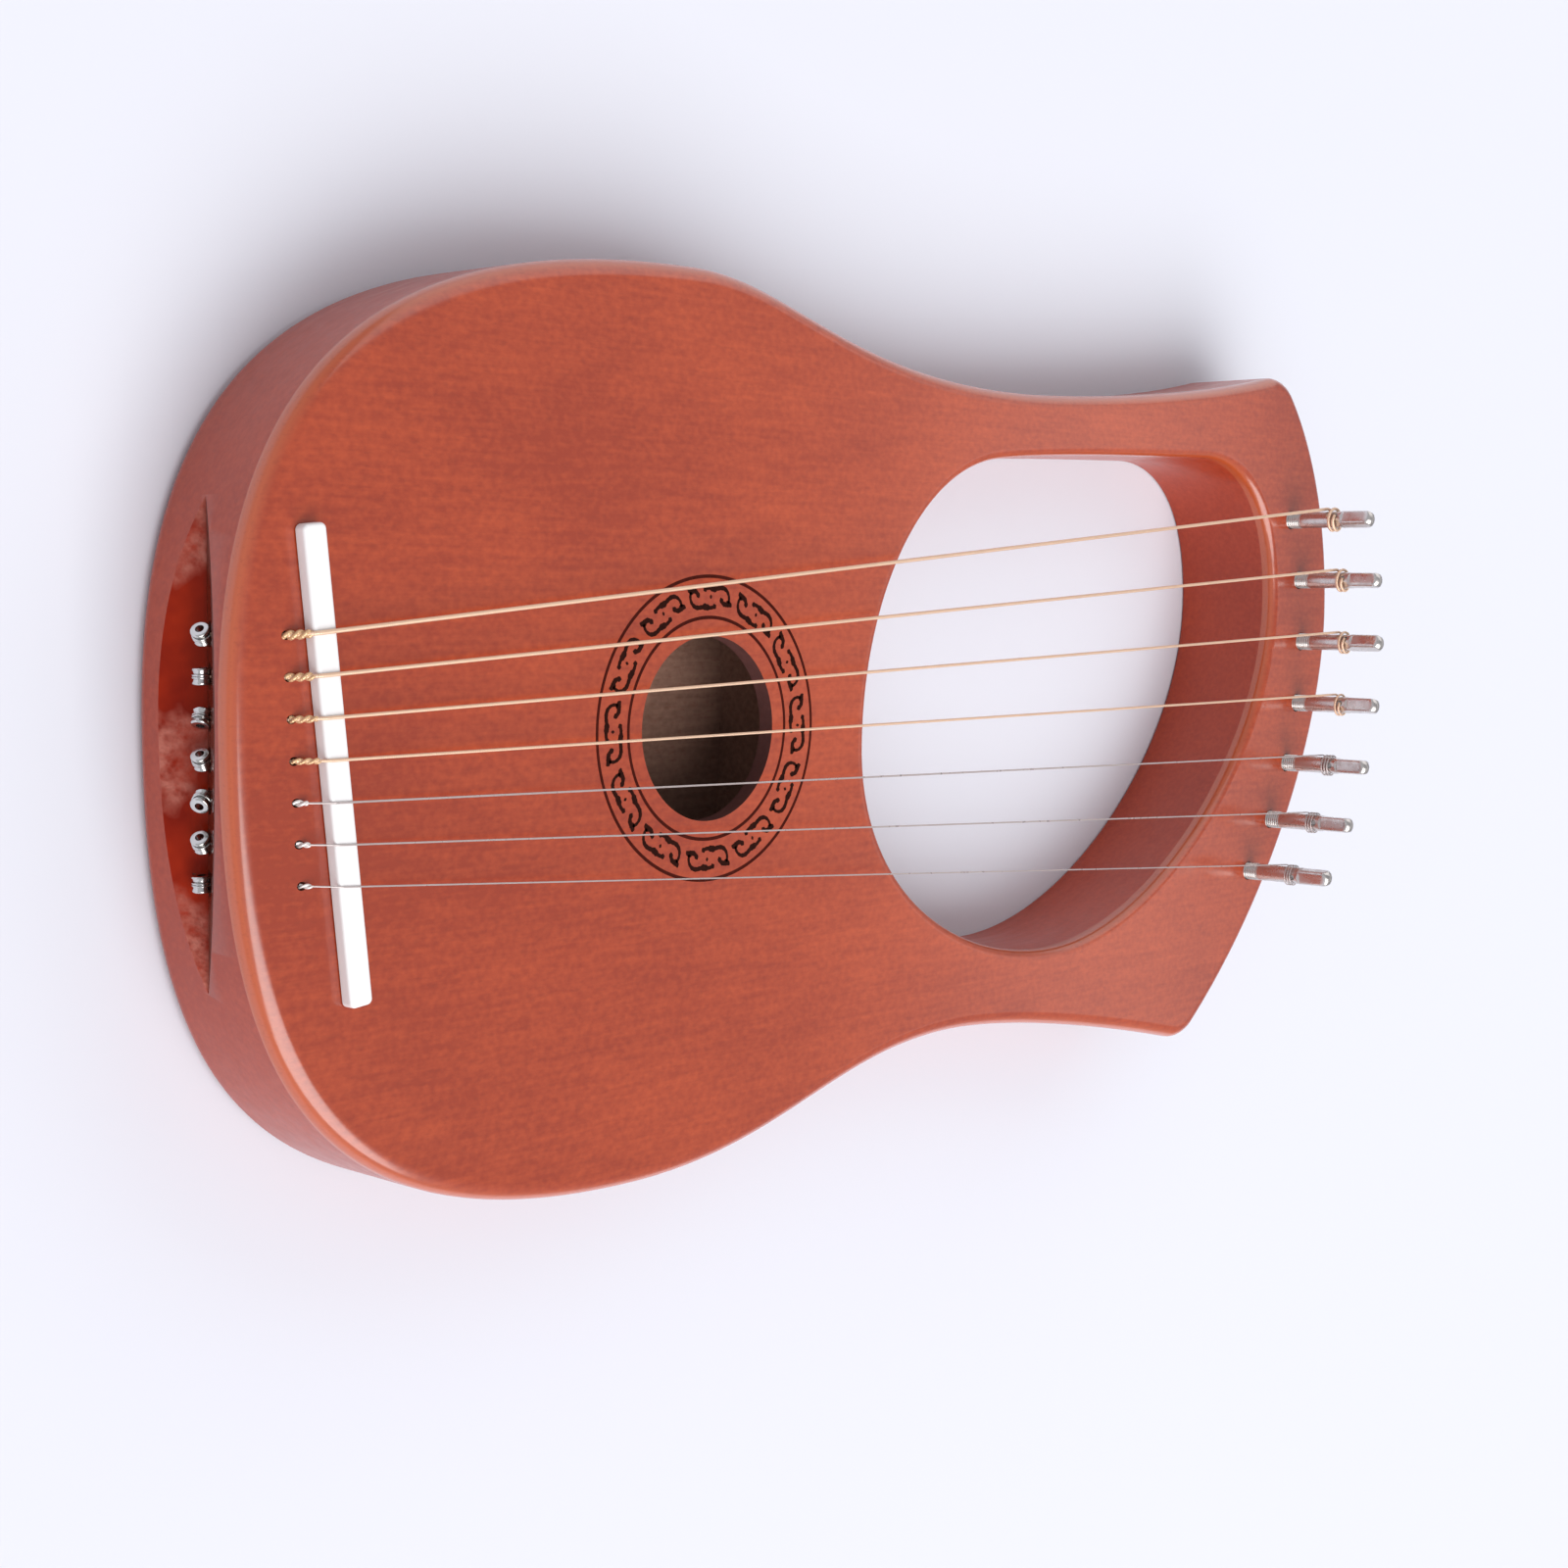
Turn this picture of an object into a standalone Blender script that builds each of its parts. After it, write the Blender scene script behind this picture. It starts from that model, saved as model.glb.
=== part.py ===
"""Seven-string lyre harp, modelled at its real size in metres.

The harp lies on its back. +Z points out of the soundboard, +Y runs from the base to the yoke
with the tuning pins, and +X is the treble side. The origin is the middle of its footprint.
"""

import math

import bmesh
import bpy
import numpy as np
from mathutils import Matrix, Vector
from mathutils.geometry import interpolate_bezier

# Whole body
BODY_LENGTH = 0.412
BODY_THICKNESS = 0.0335
EDGE_RADIUS = 0.0038
SOUNDBOARD_THICKNESS = 0.004
BACK_THICKNESS = 0.004
GLUE_GAP = 0.0003

# Bowl: the wide round end. "Up" is measured from the base, "drop" from the crest of the yoke, and
# a reach is the length of the curve's handle at that place, so a longer one makes it fuller there
BOWL_WIDTH = 0.209
BASE_LEFT = 0.0055
BASE_REACH = 0.066
RIGHT_WIDEST_UP = 0.1087
RIGHT_BOWL_REACH = 0.0936
RIGHT_SHOULDER_REACH = 0.0497
LEFT_WIDEST_UP = 0.1274
LEFT_BOWL_REACH = 0.0925
LEFT_SHOULDER_REACH = 0.032

# Waist and arms
RIGHT_WAIST_OUT = 0.0845
RIGHT_WAIST_UP = 0.224
RIGHT_WAIST_REACH = 0.0462
RIGHT_ARM_REACH = 0.0283
RIGHT_ARM_WIDTH = 0.0172
LEFT_WAIST_OUT = 0.084
LEFT_WAIST_UP = 0.2496
LEFT_WAIST_REACH = 0.070
LEFT_ARM_REACH = 0.0277
LEFT_ARM_WIDTH = 0.018

# Yoke: the crest lies left of the middle, and the two corners are where its edge meets the arms
CREST_LEFT = 0.0259
CREST_REACH_RIGHT = 0.0375
CREST_REACH_LEFT = 0.0343
YOKE_CORNER_RADIUS = 0.014
RIGHT_CORNER_OUT = 0.1018
RIGHT_CORNER_DROP = 0.0786
RIGHT_CORNER_LEAN = 13.0
RIGHT_EDGE_SLOPE = 52.0
RIGHT_EDGE_REACH = 0.057
LEFT_CORNER_OUT = 0.0984
LEFT_CORNER_DROP = 0.0283
LEFT_CORNER_LEAN = 12.0
LEFT_EDGE_SLOPE = 41.5
LEFT_EDGE_REACH = 0.0146
LEFT_CORNER_REACH = 0.0363

# Hand opening
OPENING_UP = 0.1862
OPENING_LOW_RIGHT = 0.008
OPENING_LOW_REACH = 0.0385
OPENING_RIGHT_UP = 0.267
OPENING_RIGHT_REACH_LOW = 0.039
OPENING_RIGHT_REACH_HIGH = 0.0503
YOKE_DEPTH = 0.0343
OPENING_CREST_LEFT = 0.029
OPENING_CREST_REACH_RIGHT = 0.0476
OPENING_CREST_REACH_LEFT = 0.026
LEFT_YOKE_ARM_WIDTH = 0.0275
OPENING_CORNER_DROP = 0.072
OPENING_CORNER_LEAN = 1.8
OPENING_CORNER_REACH = 0.0195
OPENING_HEEL_UP = 0.241
OPENING_HEEL_LEAN = 6.8
OPENING_SIDE_REACH = 0.024
OPENING_HEEL_REACH = 0.032

# Sound chamber and sound hole
RIM_WIDTH = 0.012
TAIL_BLOCK_DEPTH = 0.026
WAIST_BLOCK_DEPTH = 0.022
CHAMBER_FULLNESS = 0.68
SOUND_HOLE_RADIUS = 0.0215
SOUND_HOLE_UP = 0.1303
SOUND_HOLE_RIGHT = 0.0013

# Braces glued across the chamber
BRACE_WIDTH = 0.007
BRACE_HEIGHT = 0.006
BRACE_END_HEIGHT = 0.002
BRACE_TAPER = 0.024
BRACE_END_GAP = 0.006
SOUNDBOARD_BRACE_UP = 0.085
BACK_BRACE_UP = 0.100

# Notch in the end wall, a V whose inner edge runs across the harp
NOTCH_EDGE_UP = 0.0068
NOTCH_EDGE_DEPTH = 0.018
NOTCH_UPPER_SLOPE = 62.0
NOTCH_LOWER_SLOPE = 45.0

# String holes, drilled on a slant from the soundboard into the notch
STRING_HOLE_RADIUS = 0.0011
STRING_HOLE_SLOPE = 55.0
STRING_HOLE_SPACING = 0.00825
STRING_HOLE_ROW_UP = 0.0146
STRING_HOLE_ROW_RIGHT = 0.0034
STRING_HOLE_ROW_TILT = 4.0

# Ball ends, each turned its own way about its string
BALL_RADIUS = 0.0020
BALL_WIDTH = 0.0034
BALL_BORE_RADIUS = 0.0009
BALL_GROOVE_DEPTH = 0.0004
BALL_CHAMFER = 0.0004
BALL_PROUD = 0.0016
BALL_TURNS = (42.0, 88.0, -62.0, 50.0, -35.0, 45.0, 84.0)

# Saddle
SADDLE_LENGTH = 0.097
SADDLE_WIDTH = 0.0055
SADDLE_HEIGHT = 0.003
SADDLE_UP = 0.0231
SADDLE_RIGHT = 0.005
SADDLE_TILT = 6.65
SADDLE_ROUNDING = 0.001

# Tuning pins, set on an arc along the yoke
PIN_RADIUS = 0.0025
PIN_ABOVE = 0.0283
PIN_BELOW = 0.0125
PIN_HOLE_CLEARANCE = 0.0003
PIN_HEAD_LENGTH = 0.0105
PIN_SHOULDER_LENGTH = 0.001
PIN_HEAD_FLATS = 0.0043
PIN_HEAD_CORNER_RADIUS = 0.0029
PIN_TIP_ROUNDING = 0.0009
EYE_RADIUS = 0.0009
EYE_UP = 0.0164
PIN_ARC_RADIUS = 0.1003
PIN_ARC_LEFT = 0.0158
PIN_ARC_DROP = 0.1174
FIRST_PIN_ANGLE = -22.2
PIN_ANGLE_STEP = 11.04

# Strings, from the bass side to the treble side: the first four are wound, the others plain.
# Each lies a part of a turn round its pin, below the coil that turns with the pin
STRING_DIAMETERS = (0.00095, 0.00085, 0.00075, 0.00065, 0.00045, 0.00040, 0.00035)
COIL_TURNS = (1.58, 1.54, 1.58, 1.54, 3.0, 3.0, 2.96)
WOUND_STRINGS = 4
WIRE_GAP = 0.0003
COIL_GAP = 0.0005
FIRST_WRAP = 0.25

# Fineness of the faceted surfaces
OUTLINE_STEPS = 12
EDGE_STEPS = 1
HOLE_SIDES = 12
SOUND_HOLE_SIDES = 40
PIN_SIDES = 16
LOOP_POINTS = 24
BALL_STEPS = 14
SADDLE_EDGE_STEPS = 2
READING_STEPS = 64
FLAT_NORMAL = 0.999
SHARP_ANGLE = 35.0
MERGE_DISTANCE = 0.00001

STRING_COUNT = len(STRING_DIAMETERS)
TOP = BODY_THICKNESS
FRAME_LOW = BACK_THICKNESS + GLUE_GAP
FRAME_HIGH = BODY_THICKNESS - SOUNDBOARD_THICKNESS - GLUE_GAP
BASE_Y = -BODY_LENGTH / 2
CREST_Y = BODY_LENGTH / 2
SPARE = 0.02


def clear_scene():
    for obj in list(bpy.data.objects):
        bpy.data.objects.remove(obj, do_unlink=True)


def new_collection(name):
    collection = bpy.data.collections.new(name)
    bpy.context.scene.collection.children.link(collection)
    return collection


def new_material(name, colour, roughness, metallic=0.0):
    material = bpy.data.materials.new(name)
    material.use_nodes = True
    shader = material.node_tree.nodes["Principled BSDF"]
    shader.inputs["Base Color"].default_value = (*colour, 1.0)
    shader.inputs["Roughness"].default_value = roughness
    shader.inputs["Metallic"].default_value = metallic
    return material


def add_part(name, data, material=None):
    """A named piece of the harp, in the harp's collection."""
    obj = bpy.data.objects.new(name, data)
    HARP.objects.link(obj)
    if material:
        data.materials.clear()
        data.materials.append(material)
    return obj


def add_cutter(name, data):
    """A helper that only cuts: drawn as wire and never rendered."""
    obj = bpy.data.objects.new(name, data)
    CUTTERS.objects.link(obj)
    obj.hide_render = True
    obj.display_type = "WIRE"
    return obj


def cut(obj, cutter, operation="DIFFERENCE"):
    modifier = obj.modifiers.new(cutter.name, "BOOLEAN")
    modifier.operation = operation
    modifier.object = cutter


def smooth_walls(mesh):
    """Shades the upright and rounded walls smooth and leaves the level faces flat."""
    for face in mesh.polygons:
        face.use_smooth = abs(face.normal.z) < FLAT_NORMAL
    mesh.set_sharp_from_angle(angle=math.radians(SHARP_ANGLE))


def box_mesh(name, size, centre):
    """A box of this size about its centre."""
    mesh = bpy.data.meshes.new(name)
    bm = bmesh.new()
    place = Matrix.Translation(centre) @ Matrix.Diagonal((*size, 1.0))
    bmesh.ops.create_cube(bm, size=1.0, matrix=place)
    bm.to_mesh(mesh)
    bm.free()
    return mesh


def cylinders_mesh(name, radius, ends, sides):
    """One mesh of cylinders, each given by the two ends of its axis."""
    mesh = bpy.data.meshes.new(name)
    bm = bmesh.new()
    for start, end in ends:
        axis = Vector(end) - Vector(start)
        middle = (Vector(start) + Vector(end)) / 2
        turn = axis.to_track_quat("Z", "Y").to_matrix().to_4x4()
        bmesh.ops.create_cone(
            bm,
            cap_ends=True,
            segments=sides,
            radius1=radius,
            radius2=radius,
            depth=axis.length,
            matrix=Matrix.Translation(middle) @ turn,
        )
    bm.to_mesh(mesh)
    bm.free()
    smooth_walls(mesh)
    return mesh


def mesh_from_curve(curve_object, name):
    """The evaluated curve as a welded mesh in world space, with the curve removed."""
    graph = bpy.context.evaluated_depsgraph_get()
    mesh = bpy.data.meshes.new_from_object(curve_object.evaluated_get(graph))
    mesh.name = name
    mesh.transform(curve_object.matrix_world)
    bm = bmesh.new()
    bm.from_mesh(mesh)
    bmesh.ops.remove_doubles(bm, verts=bm.verts, dist=MERGE_DISTANCE)
    bmesh.ops.recalc_face_normals(bm, faces=bm.faces)
    bm.to_mesh(mesh)
    bm.free()
    smooth_walls(mesh)
    curve = curve_object.data
    bpy.data.objects.remove(curve_object, do_unlink=True)
    bpy.data.curves.remove(curve)
    return mesh


def key(x, y, heading, back, ahead):
    """A point of a smooth outline: its place, its heading in degrees and its two handle lengths."""
    angle = math.radians(heading)
    return Vector((x, y)), Vector((math.cos(angle), math.sin(angle))), back, ahead


def rounded_corner(x, y, heading_in, heading_out, radius, back, ahead):
    """Two keys that round a corner with an arc of the given radius."""
    turn = math.radians(heading_out - heading_in)
    tangent = radius * math.tan(turn / 2)
    handle = radius * math.tan(turn / 4) * 4 / 3
    first = key(x, y, heading_in, back, handle)
    last = key(x, y, heading_out, handle, ahead)
    return [
        (first[0] - first[1] * tangent, first[1], back, handle),
        (last[0] + last[1] * tangent, last[1], handle, ahead),
    ]


def flat_outline(name, outlines, half_thickness, rounding=0.0):
    """A 2D curve of closed smooth outlines, filled and extruded about z = 0."""
    curve = bpy.data.curves.new(name, "CURVE")
    curve.dimensions = "2D"
    curve.fill_mode = "BOTH"
    curve.resolution_u = OUTLINE_STEPS
    curve.extrude = half_thickness - rounding
    curve.bevel_depth = rounding
    curve.bevel_resolution = EDGE_STEPS
    curve.offset = -rounding
    for keys in outlines:
        spline = curve.splines.new("BEZIER")
        spline.bezier_points.add(len(keys) - 1)
        spline.use_cyclic_u = True
        for point, (place, heading, back, ahead) in zip(spline.bezier_points, keys):
            point.handle_left_type = "FREE"
            point.handle_right_type = "FREE"
            point.co = (*place, 0.0)
            point.handle_left = (*(place - heading * back), 0.0)
            point.handle_right = (*(place + heading * ahead), 0.0)
    obj = bpy.data.objects.new(name, curve)
    CUTTERS.objects.link(obj)
    return obj


def body_keys():
    """The outline of the whole instrument, anticlockwise from the flattest point of the base."""
    half = BOWL_WIDTH / 2
    right_corner = rounded_corner(
        RIGHT_CORNER_OUT,
        CREST_Y - RIGHT_CORNER_DROP,
        90.0 - RIGHT_CORNER_LEAN,
        180.0 - RIGHT_EDGE_SLOPE,
        YOKE_CORNER_RADIUS,
        RIGHT_ARM_REACH,
        RIGHT_EDGE_REACH,
    )
    left_corner = rounded_corner(
        -LEFT_CORNER_OUT,
        CREST_Y - LEFT_CORNER_DROP,
        180.0 + LEFT_EDGE_SLOPE,
        270.0 + LEFT_CORNER_LEAN,
        YOKE_CORNER_RADIUS,
        LEFT_EDGE_REACH,
        LEFT_CORNER_REACH,
    )
    return [
        key(-BASE_LEFT, BASE_Y, 0.0, BASE_REACH, BASE_REACH),
        key(half, BASE_Y + RIGHT_WIDEST_UP, 90.0, RIGHT_BOWL_REACH, RIGHT_SHOULDER_REACH),
        key(RIGHT_WAIST_OUT, BASE_Y + RIGHT_WAIST_UP, 90.0, RIGHT_WAIST_REACH, RIGHT_ARM_REACH),
        *right_corner,
        key(-CREST_LEFT, CREST_Y, 180.0, CREST_REACH_RIGHT, CREST_REACH_LEFT),
        *left_corner,
        key(-LEFT_WAIST_OUT, BASE_Y + LEFT_WAIST_UP, 270.0, LEFT_ARM_REACH, LEFT_WAIST_REACH),
        key(-half, BASE_Y + LEFT_WIDEST_UP, 270.0, LEFT_SHOULDER_REACH, LEFT_BOWL_REACH),
    ]


def opening_keys():
    """The outline of the hand opening, anticlockwise from its lowest point."""
    right = RIGHT_WAIST_OUT - RIGHT_ARM_WIDTH
    corner = LEFT_CORNER_OUT - LEFT_YOKE_ARM_WIDTH
    heel = LEFT_WAIST_OUT - LEFT_ARM_WIDTH
    corner_heading = 270.0 + OPENING_CORNER_LEAN
    heel_heading = 270.0 + OPENING_HEEL_LEAN
    return [
        key(OPENING_LOW_RIGHT, BASE_Y + OPENING_UP, 0.0, OPENING_LOW_REACH, OPENING_LOW_REACH),
        key(right, BASE_Y + OPENING_RIGHT_UP, 90.0, OPENING_RIGHT_REACH_LOW, OPENING_RIGHT_REACH_HIGH),
        key(
            -OPENING_CREST_LEFT,
            CREST_Y - YOKE_DEPTH,
            180.0,
            OPENING_CREST_REACH_RIGHT,
            OPENING_CREST_REACH_LEFT,
        ),
        key(-corner, CREST_Y - OPENING_CORNER_DROP, corner_heading, OPENING_CORNER_REACH, OPENING_SIDE_REACH),
        key(-heel, BASE_Y + OPENING_HEEL_UP, heel_heading, OPENING_SIDE_REACH, OPENING_HEEL_REACH),
    ]


def chamber_keys():
    """The outline of the sound chamber, which follows the bowl inside its rim."""
    half = BOWL_WIDTH / 2 - RIM_WIDTH
    low = BASE_Y + TAIL_BLOCK_DEPTH
    high = BASE_Y + OPENING_UP - WAIST_BLOCK_DEPTH
    right = BASE_Y + RIGHT_WIDEST_UP
    left = BASE_Y + LEFT_WIDEST_UP
    flat = half * CHAMBER_FULLNESS
    return [
        key(0.0, low, 0.0, flat, flat),
        key(half, right, 90.0, (right - low) * CHAMBER_FULLNESS, (high - right) * CHAMBER_FULLNESS),
        key(0.0, high, 180.0, flat, flat),
        key(-half, left, 270.0, (high - left) * CHAMBER_FULLNESS, (left - low) * CHAMBER_FULLNESS),
    ]


def pin_places():
    """Centres of the tuning pins, evenly spaced on their arc."""
    centre_y = CREST_Y - PIN_ARC_DROP
    angles = [math.radians(FIRST_PIN_ANGLE + PIN_ANGLE_STEP * i) for i in range(STRING_COUNT)]
    return [
        Vector((PIN_ARC_RADIUS * math.sin(a) - PIN_ARC_LEFT, centre_y + PIN_ARC_RADIUS * math.cos(a)))
        for a in angles
    ]


def string_hole_places():
    """Centres of the string holes on the soundboard, in a straight slanted row."""
    tilt = math.radians(STRING_HOLE_ROW_TILT)
    middle = Vector((STRING_HOLE_ROW_RIGHT, BASE_Y + STRING_HOLE_ROW_UP))
    step = Vector((math.cos(tilt), math.sin(tilt))) * STRING_HOLE_SPACING
    return [middle + step * (i - (STRING_COUNT - 1) / 2) for i in range(STRING_COUNT)]


def string_hole_direction():
    """The way a string hole runs: down from the soundboard and out to the notch."""
    slope = math.radians(STRING_HOLE_SLOPE)
    return Vector((0.0, -math.cos(slope), -math.sin(slope)))


def ball_places():
    """Centres of the ball ends, on the string holes' axes just outside the notch's upper face."""
    slope = math.radians(NOTCH_UPPER_SLOPE)
    outward = Vector((0.0, -math.sin(slope), -math.cos(slope)))
    edge = Vector((0.0, BASE_Y + NOTCH_EDGE_UP, TOP - NOTCH_EDGE_DEPTH))
    direction = string_hole_direction()
    places = []
    for hole in string_hole_places():
        mouth = Vector((hole.x, hole.y, TOP))
        run = (edge - mouth).dot(outward) / direction.dot(outward)
        places.append(mouth + direction * (run + BALL_PROUD))
    return places


def ball_reach():
    """How far the farthest point of a ball end lies from its centre."""
    side = math.hypot(BALL_RADIUS, BALL_WIDTH / 2 - BALL_CHAMFER)
    face = math.hypot(BALL_RADIUS - BALL_CHAMFER, BALL_WIDTH / 2)
    return max(side, face)


def body_blank():
    """The body as it is shaped after glue-up: full outline, hand opening and rounded edges."""
    curve = flat_outline("blank", [body_keys(), opening_keys()], BODY_THICKNESS / 2, EDGE_RADIUS)
    curve.location.z = BODY_THICKNESS / 2
    bpy.context.view_layer.update()
    return mesh_from_curve(curve, "body_blank")


def layer(name, blank, low, high, material):
    """One glued layer: the part of the blank between two heights."""
    size = (BOWL_WIDTH + 4 * SPARE, BODY_LENGTH + 2 * SPARE, high - low)
    slab = add_cutter(name + "_slab", box_mesh(name + "_slab", size, (0.0, 0.0, (low + high) / 2)))
    obj = add_part(name, blank.copy(), material)
    cut(obj, slab, "INTERSECT")
    return obj


def notch_cutter():
    """A long prism with the V section of the notch."""
    depth = NOTCH_EDGE_UP + SPARE
    upper = math.tan(math.radians(NOTCH_UPPER_SLOPE)) * depth
    lower = math.tan(math.radians(NOTCH_LOWER_SLOPE)) * depth
    edge_y = BASE_Y + NOTCH_EDGE_UP
    edge_z = TOP - NOTCH_EDGE_DEPTH
    section = [(edge_y, edge_z), (edge_y - depth, edge_z + upper), (edge_y - depth, edge_z - lower)]
    return add_cutter("notch_cutter", prism_mesh("notch_cutter", section, BOWL_WIDTH / 2))


def prism_mesh(name, section, half_length):
    """A closed section in the YZ plane, extruded both ways along X."""
    curve = bpy.data.curves.new(name, "CURVE")
    curve.dimensions = "2D"
    curve.fill_mode = "BOTH"
    curve.extrude = half_length
    spline = curve.splines.new("POLY")
    spline.points.add(len(section) - 1)
    spline.use_cyclic_u = True
    for point, (y, z) in zip(spline.points, section):
        point.co = (y, z, 0.0, 1.0)
    obj = bpy.data.objects.new(name, curve)
    CUTTERS.objects.link(obj)
    obj.matrix_world = Matrix(((0, 0, 1, 0), (1, 0, 0, 0), (0, 1, 0, 0), (0, 0, 0, 1)))
    bpy.context.view_layer.update()
    return mesh_from_curve(obj, name)


def hole_cutters():
    """Cutters for the pin holes, the string holes and the seats of the ball ends."""
    pin_radius = PIN_RADIUS + PIN_HOLE_CLEARANCE
    bottom = TOP - PIN_BELOW - PIN_HOLE_CLEARANCE
    pins = [((p.x, p.y, TOP + SPARE), (p.x, p.y, bottom)) for p in pin_places()]
    direction = string_hole_direction()
    holes = []
    seats = []
    seat_radius = ball_reach() + WIRE_GAP
    for hole, ball in zip(string_hole_places(), ball_places()):
        mouth = Vector((hole.x, hole.y, TOP))
        holes.append((mouth - direction * SPARE, ball))
        seats.append((ball - direction * seat_radius, ball + direction * seat_radius))
    return (
        add_cutter("pin_holes", cylinders_mesh("pin_holes", pin_radius, pins, PIN_SIDES)),
        add_cutter("string_holes", cylinders_mesh("string_holes", STRING_HOLE_RADIUS, holes, HOLE_SIDES)),
        add_cutter("ball_seats", cylinders_mesh("ball_seats", seat_radius, seats, HOLE_SIDES)),
    )


def make_body():
    """Soundboard, frame and back plate, cut from one shaped blank."""
    blank = body_blank()
    pin_holes, string_holes, ball_seats = hole_cutters()
    soundboard = layer("soundboard", blank, FRAME_HIGH + GLUE_GAP, TOP + SPARE, MAHOGANY)
    frame = layer("body_frame", blank, FRAME_LOW, FRAME_HIGH, MAHOGANY_SIDES)
    layer("back_plate", blank, -SPARE, BACK_THICKNESS, MAHOGANY_BACK)

    hole_centre = (SOUND_HOLE_RIGHT, BASE_Y + SOUND_HOLE_UP)
    hole_ends = [((*hole_centre, TOP + SPARE), (*hole_centre, FRAME_HIGH - SPARE))]
    hole_mesh = cylinders_mesh("sound_hole", SOUND_HOLE_RADIUS, hole_ends, SOUND_HOLE_SIDES)
    cut(soundboard, add_cutter("sound_hole", hole_mesh))
    cut(soundboard, pin_holes)
    cut(soundboard, string_holes)

    chamber = flat_outline("chamber", [chamber_keys()], BODY_THICKNESS)
    chamber.location.z = BODY_THICKNESS / 2
    bpy.context.view_layer.update()
    cut(frame, add_cutter("chamber_cutter", mesh_from_curve(chamber, "chamber_cutter")))
    cut(frame, notch_cutter())
    cut(frame, pin_holes)
    cut(frame, string_holes)
    cut(frame, ball_seats)


def chamber_sides(y):
    """How far left and right the chamber is open along a brace laid at this height."""
    keys = chamber_keys()
    points = []
    for (start, out, _, ahead), (end, into, back, _) in zip(keys, keys[1:] + keys[:1]):
        points += interpolate_bezier(start, start + out * ahead, end - into * back, end, READING_STEPS)
    near = [point.x for point in points if abs(point.y - y) < BRACE_WIDTH / 2]
    return max(x for x in near if x < 0), min(x for x in near if x > 0)


def make_brace(name, centre_y, glued_z, side):
    """A cross bar with tapered ends, glued by its wide face; side is +1 upwards, -1 downwards."""
    left, right = chamber_sides(centre_y)
    left += BRACE_END_GAP
    right -= BRACE_END_GAP
    profile = [
        (left, 0.0),
        (left, BRACE_END_HEIGHT),
        (left + BRACE_TAPER, BRACE_HEIGHT),
        (right - BRACE_TAPER, BRACE_HEIGHT),
        (right, BRACE_END_HEIGHT),
        (right, 0.0),
    ]
    section = [(x, glued_z + side * z) for x, z in profile]
    mesh = prism_mesh(name, section, BRACE_WIDTH / 2)
    mesh.transform(Matrix.Translation((0.0, centre_y, 0.0)) @ Matrix.Rotation(-math.pi / 2, 4, "Z"))
    add_part(name, mesh, SPRUCE)


def make_saddle():
    size = (SADDLE_LENGTH, SADDLE_WIDTH, SADDLE_HEIGHT)
    saddle = add_part("saddle", box_mesh("saddle", size, (0.0, 0.0, SADDLE_HEIGHT / 2)), BONE)
    saddle.location = (SADDLE_RIGHT, BASE_Y + SADDLE_UP, TOP + GLUE_GAP)
    saddle.rotation_euler.z = math.radians(SADDLE_TILT)
    bevel = saddle.modifiers.new("rounded_edges", "BEVEL")
    bevel.width = SADDLE_ROUNDING
    bevel.segments = SADDLE_EDGE_STEPS


def pin_sections():
    """Height above the wood, radius at the corners and half the width across the flats."""
    head_low = PIN_ABOVE - PIN_HEAD_LENGTH
    flat = PIN_HEAD_FLATS / 2
    corner = PIN_HEAD_CORNER_RADIUS
    tip = PIN_TIP_ROUNDING
    return [
        (-PIN_BELOW, PIN_RADIUS, PIN_RADIUS),
        (head_low, PIN_RADIUS, PIN_RADIUS),
        (head_low + PIN_SHOULDER_LENGTH, corner, flat),
        (PIN_ABOVE - tip, corner, flat),
        (PIN_ABOVE, corner - tip, flat - tip),
    ]


def pin_mesh():
    """A zither pin about its own axis, z = 0 at the wood: a loft from a round shank to a square head."""
    bm = bmesh.new()
    rings = []
    for height, radius, flat in pin_sections():
        ring = []
        for i in range(PIN_SIDES):
            angle = 2 * math.pi * i / PIN_SIDES
            across = max(abs(math.cos(angle)), abs(math.sin(angle)))
            r = min(radius, flat / across)
            ring.append(bm.verts.new((r * math.cos(angle), r * math.sin(angle), height)))
        rings.append(ring)
    for low, high in zip(rings, rings[1:]):
        for i in range(PIN_SIDES):
            j = (i + 1) % PIN_SIDES
            bm.faces.new((low[i], low[j], high[j], high[i]))
    bm.faces.new(rings[0][::-1])
    bm.faces.new(rings[-1])
    mesh = bpy.data.meshes.new("tuning_pin")
    bm.to_mesh(mesh)
    bm.free()
    return mesh


def drilled_pin_mesh():
    """The pin with its eye drilled across it along X."""
    pin = add_cutter("pin_blank", pin_mesh())
    ends = [((-2 * PIN_RADIUS, 0.0, EYE_UP), (2 * PIN_RADIUS, 0.0, EYE_UP))]
    eye = add_cutter("pin_eye", cylinders_mesh("pin_eye", EYE_RADIUS, ends, HOLE_SIDES))
    cut(pin, eye)
    bpy.context.view_layer.update()
    graph = bpy.context.evaluated_depsgraph_get()
    mesh = bpy.data.meshes.new_from_object(pin.evaluated_get(graph))
    mesh.name = "tuning_pin"
    mesh.shade_smooth()
    mesh.set_sharp_from_angle(angle=math.radians(SHARP_ANGLE))
    bpy.data.objects.remove(pin, do_unlink=True)
    bpy.data.objects.remove(eye, do_unlink=True)
    return mesh


def wire(name, points, radius, material):
    """A wire through the given points: a curve with a round bevel and filled ends."""
    curve = bpy.data.curves.new(name, "CURVE")
    curve.dimensions = "3D"
    curve.bevel_depth = radius
    curve.bevel_resolution = 1
    curve.use_fill_caps = True
    spline = curve.splines.new("POLY")
    spline.points.add(len(points) - 1)
    for point, place in zip(spline.points, points):
        point.co = (*place, 1.0)
    return add_part(name, curve, material)


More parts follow.
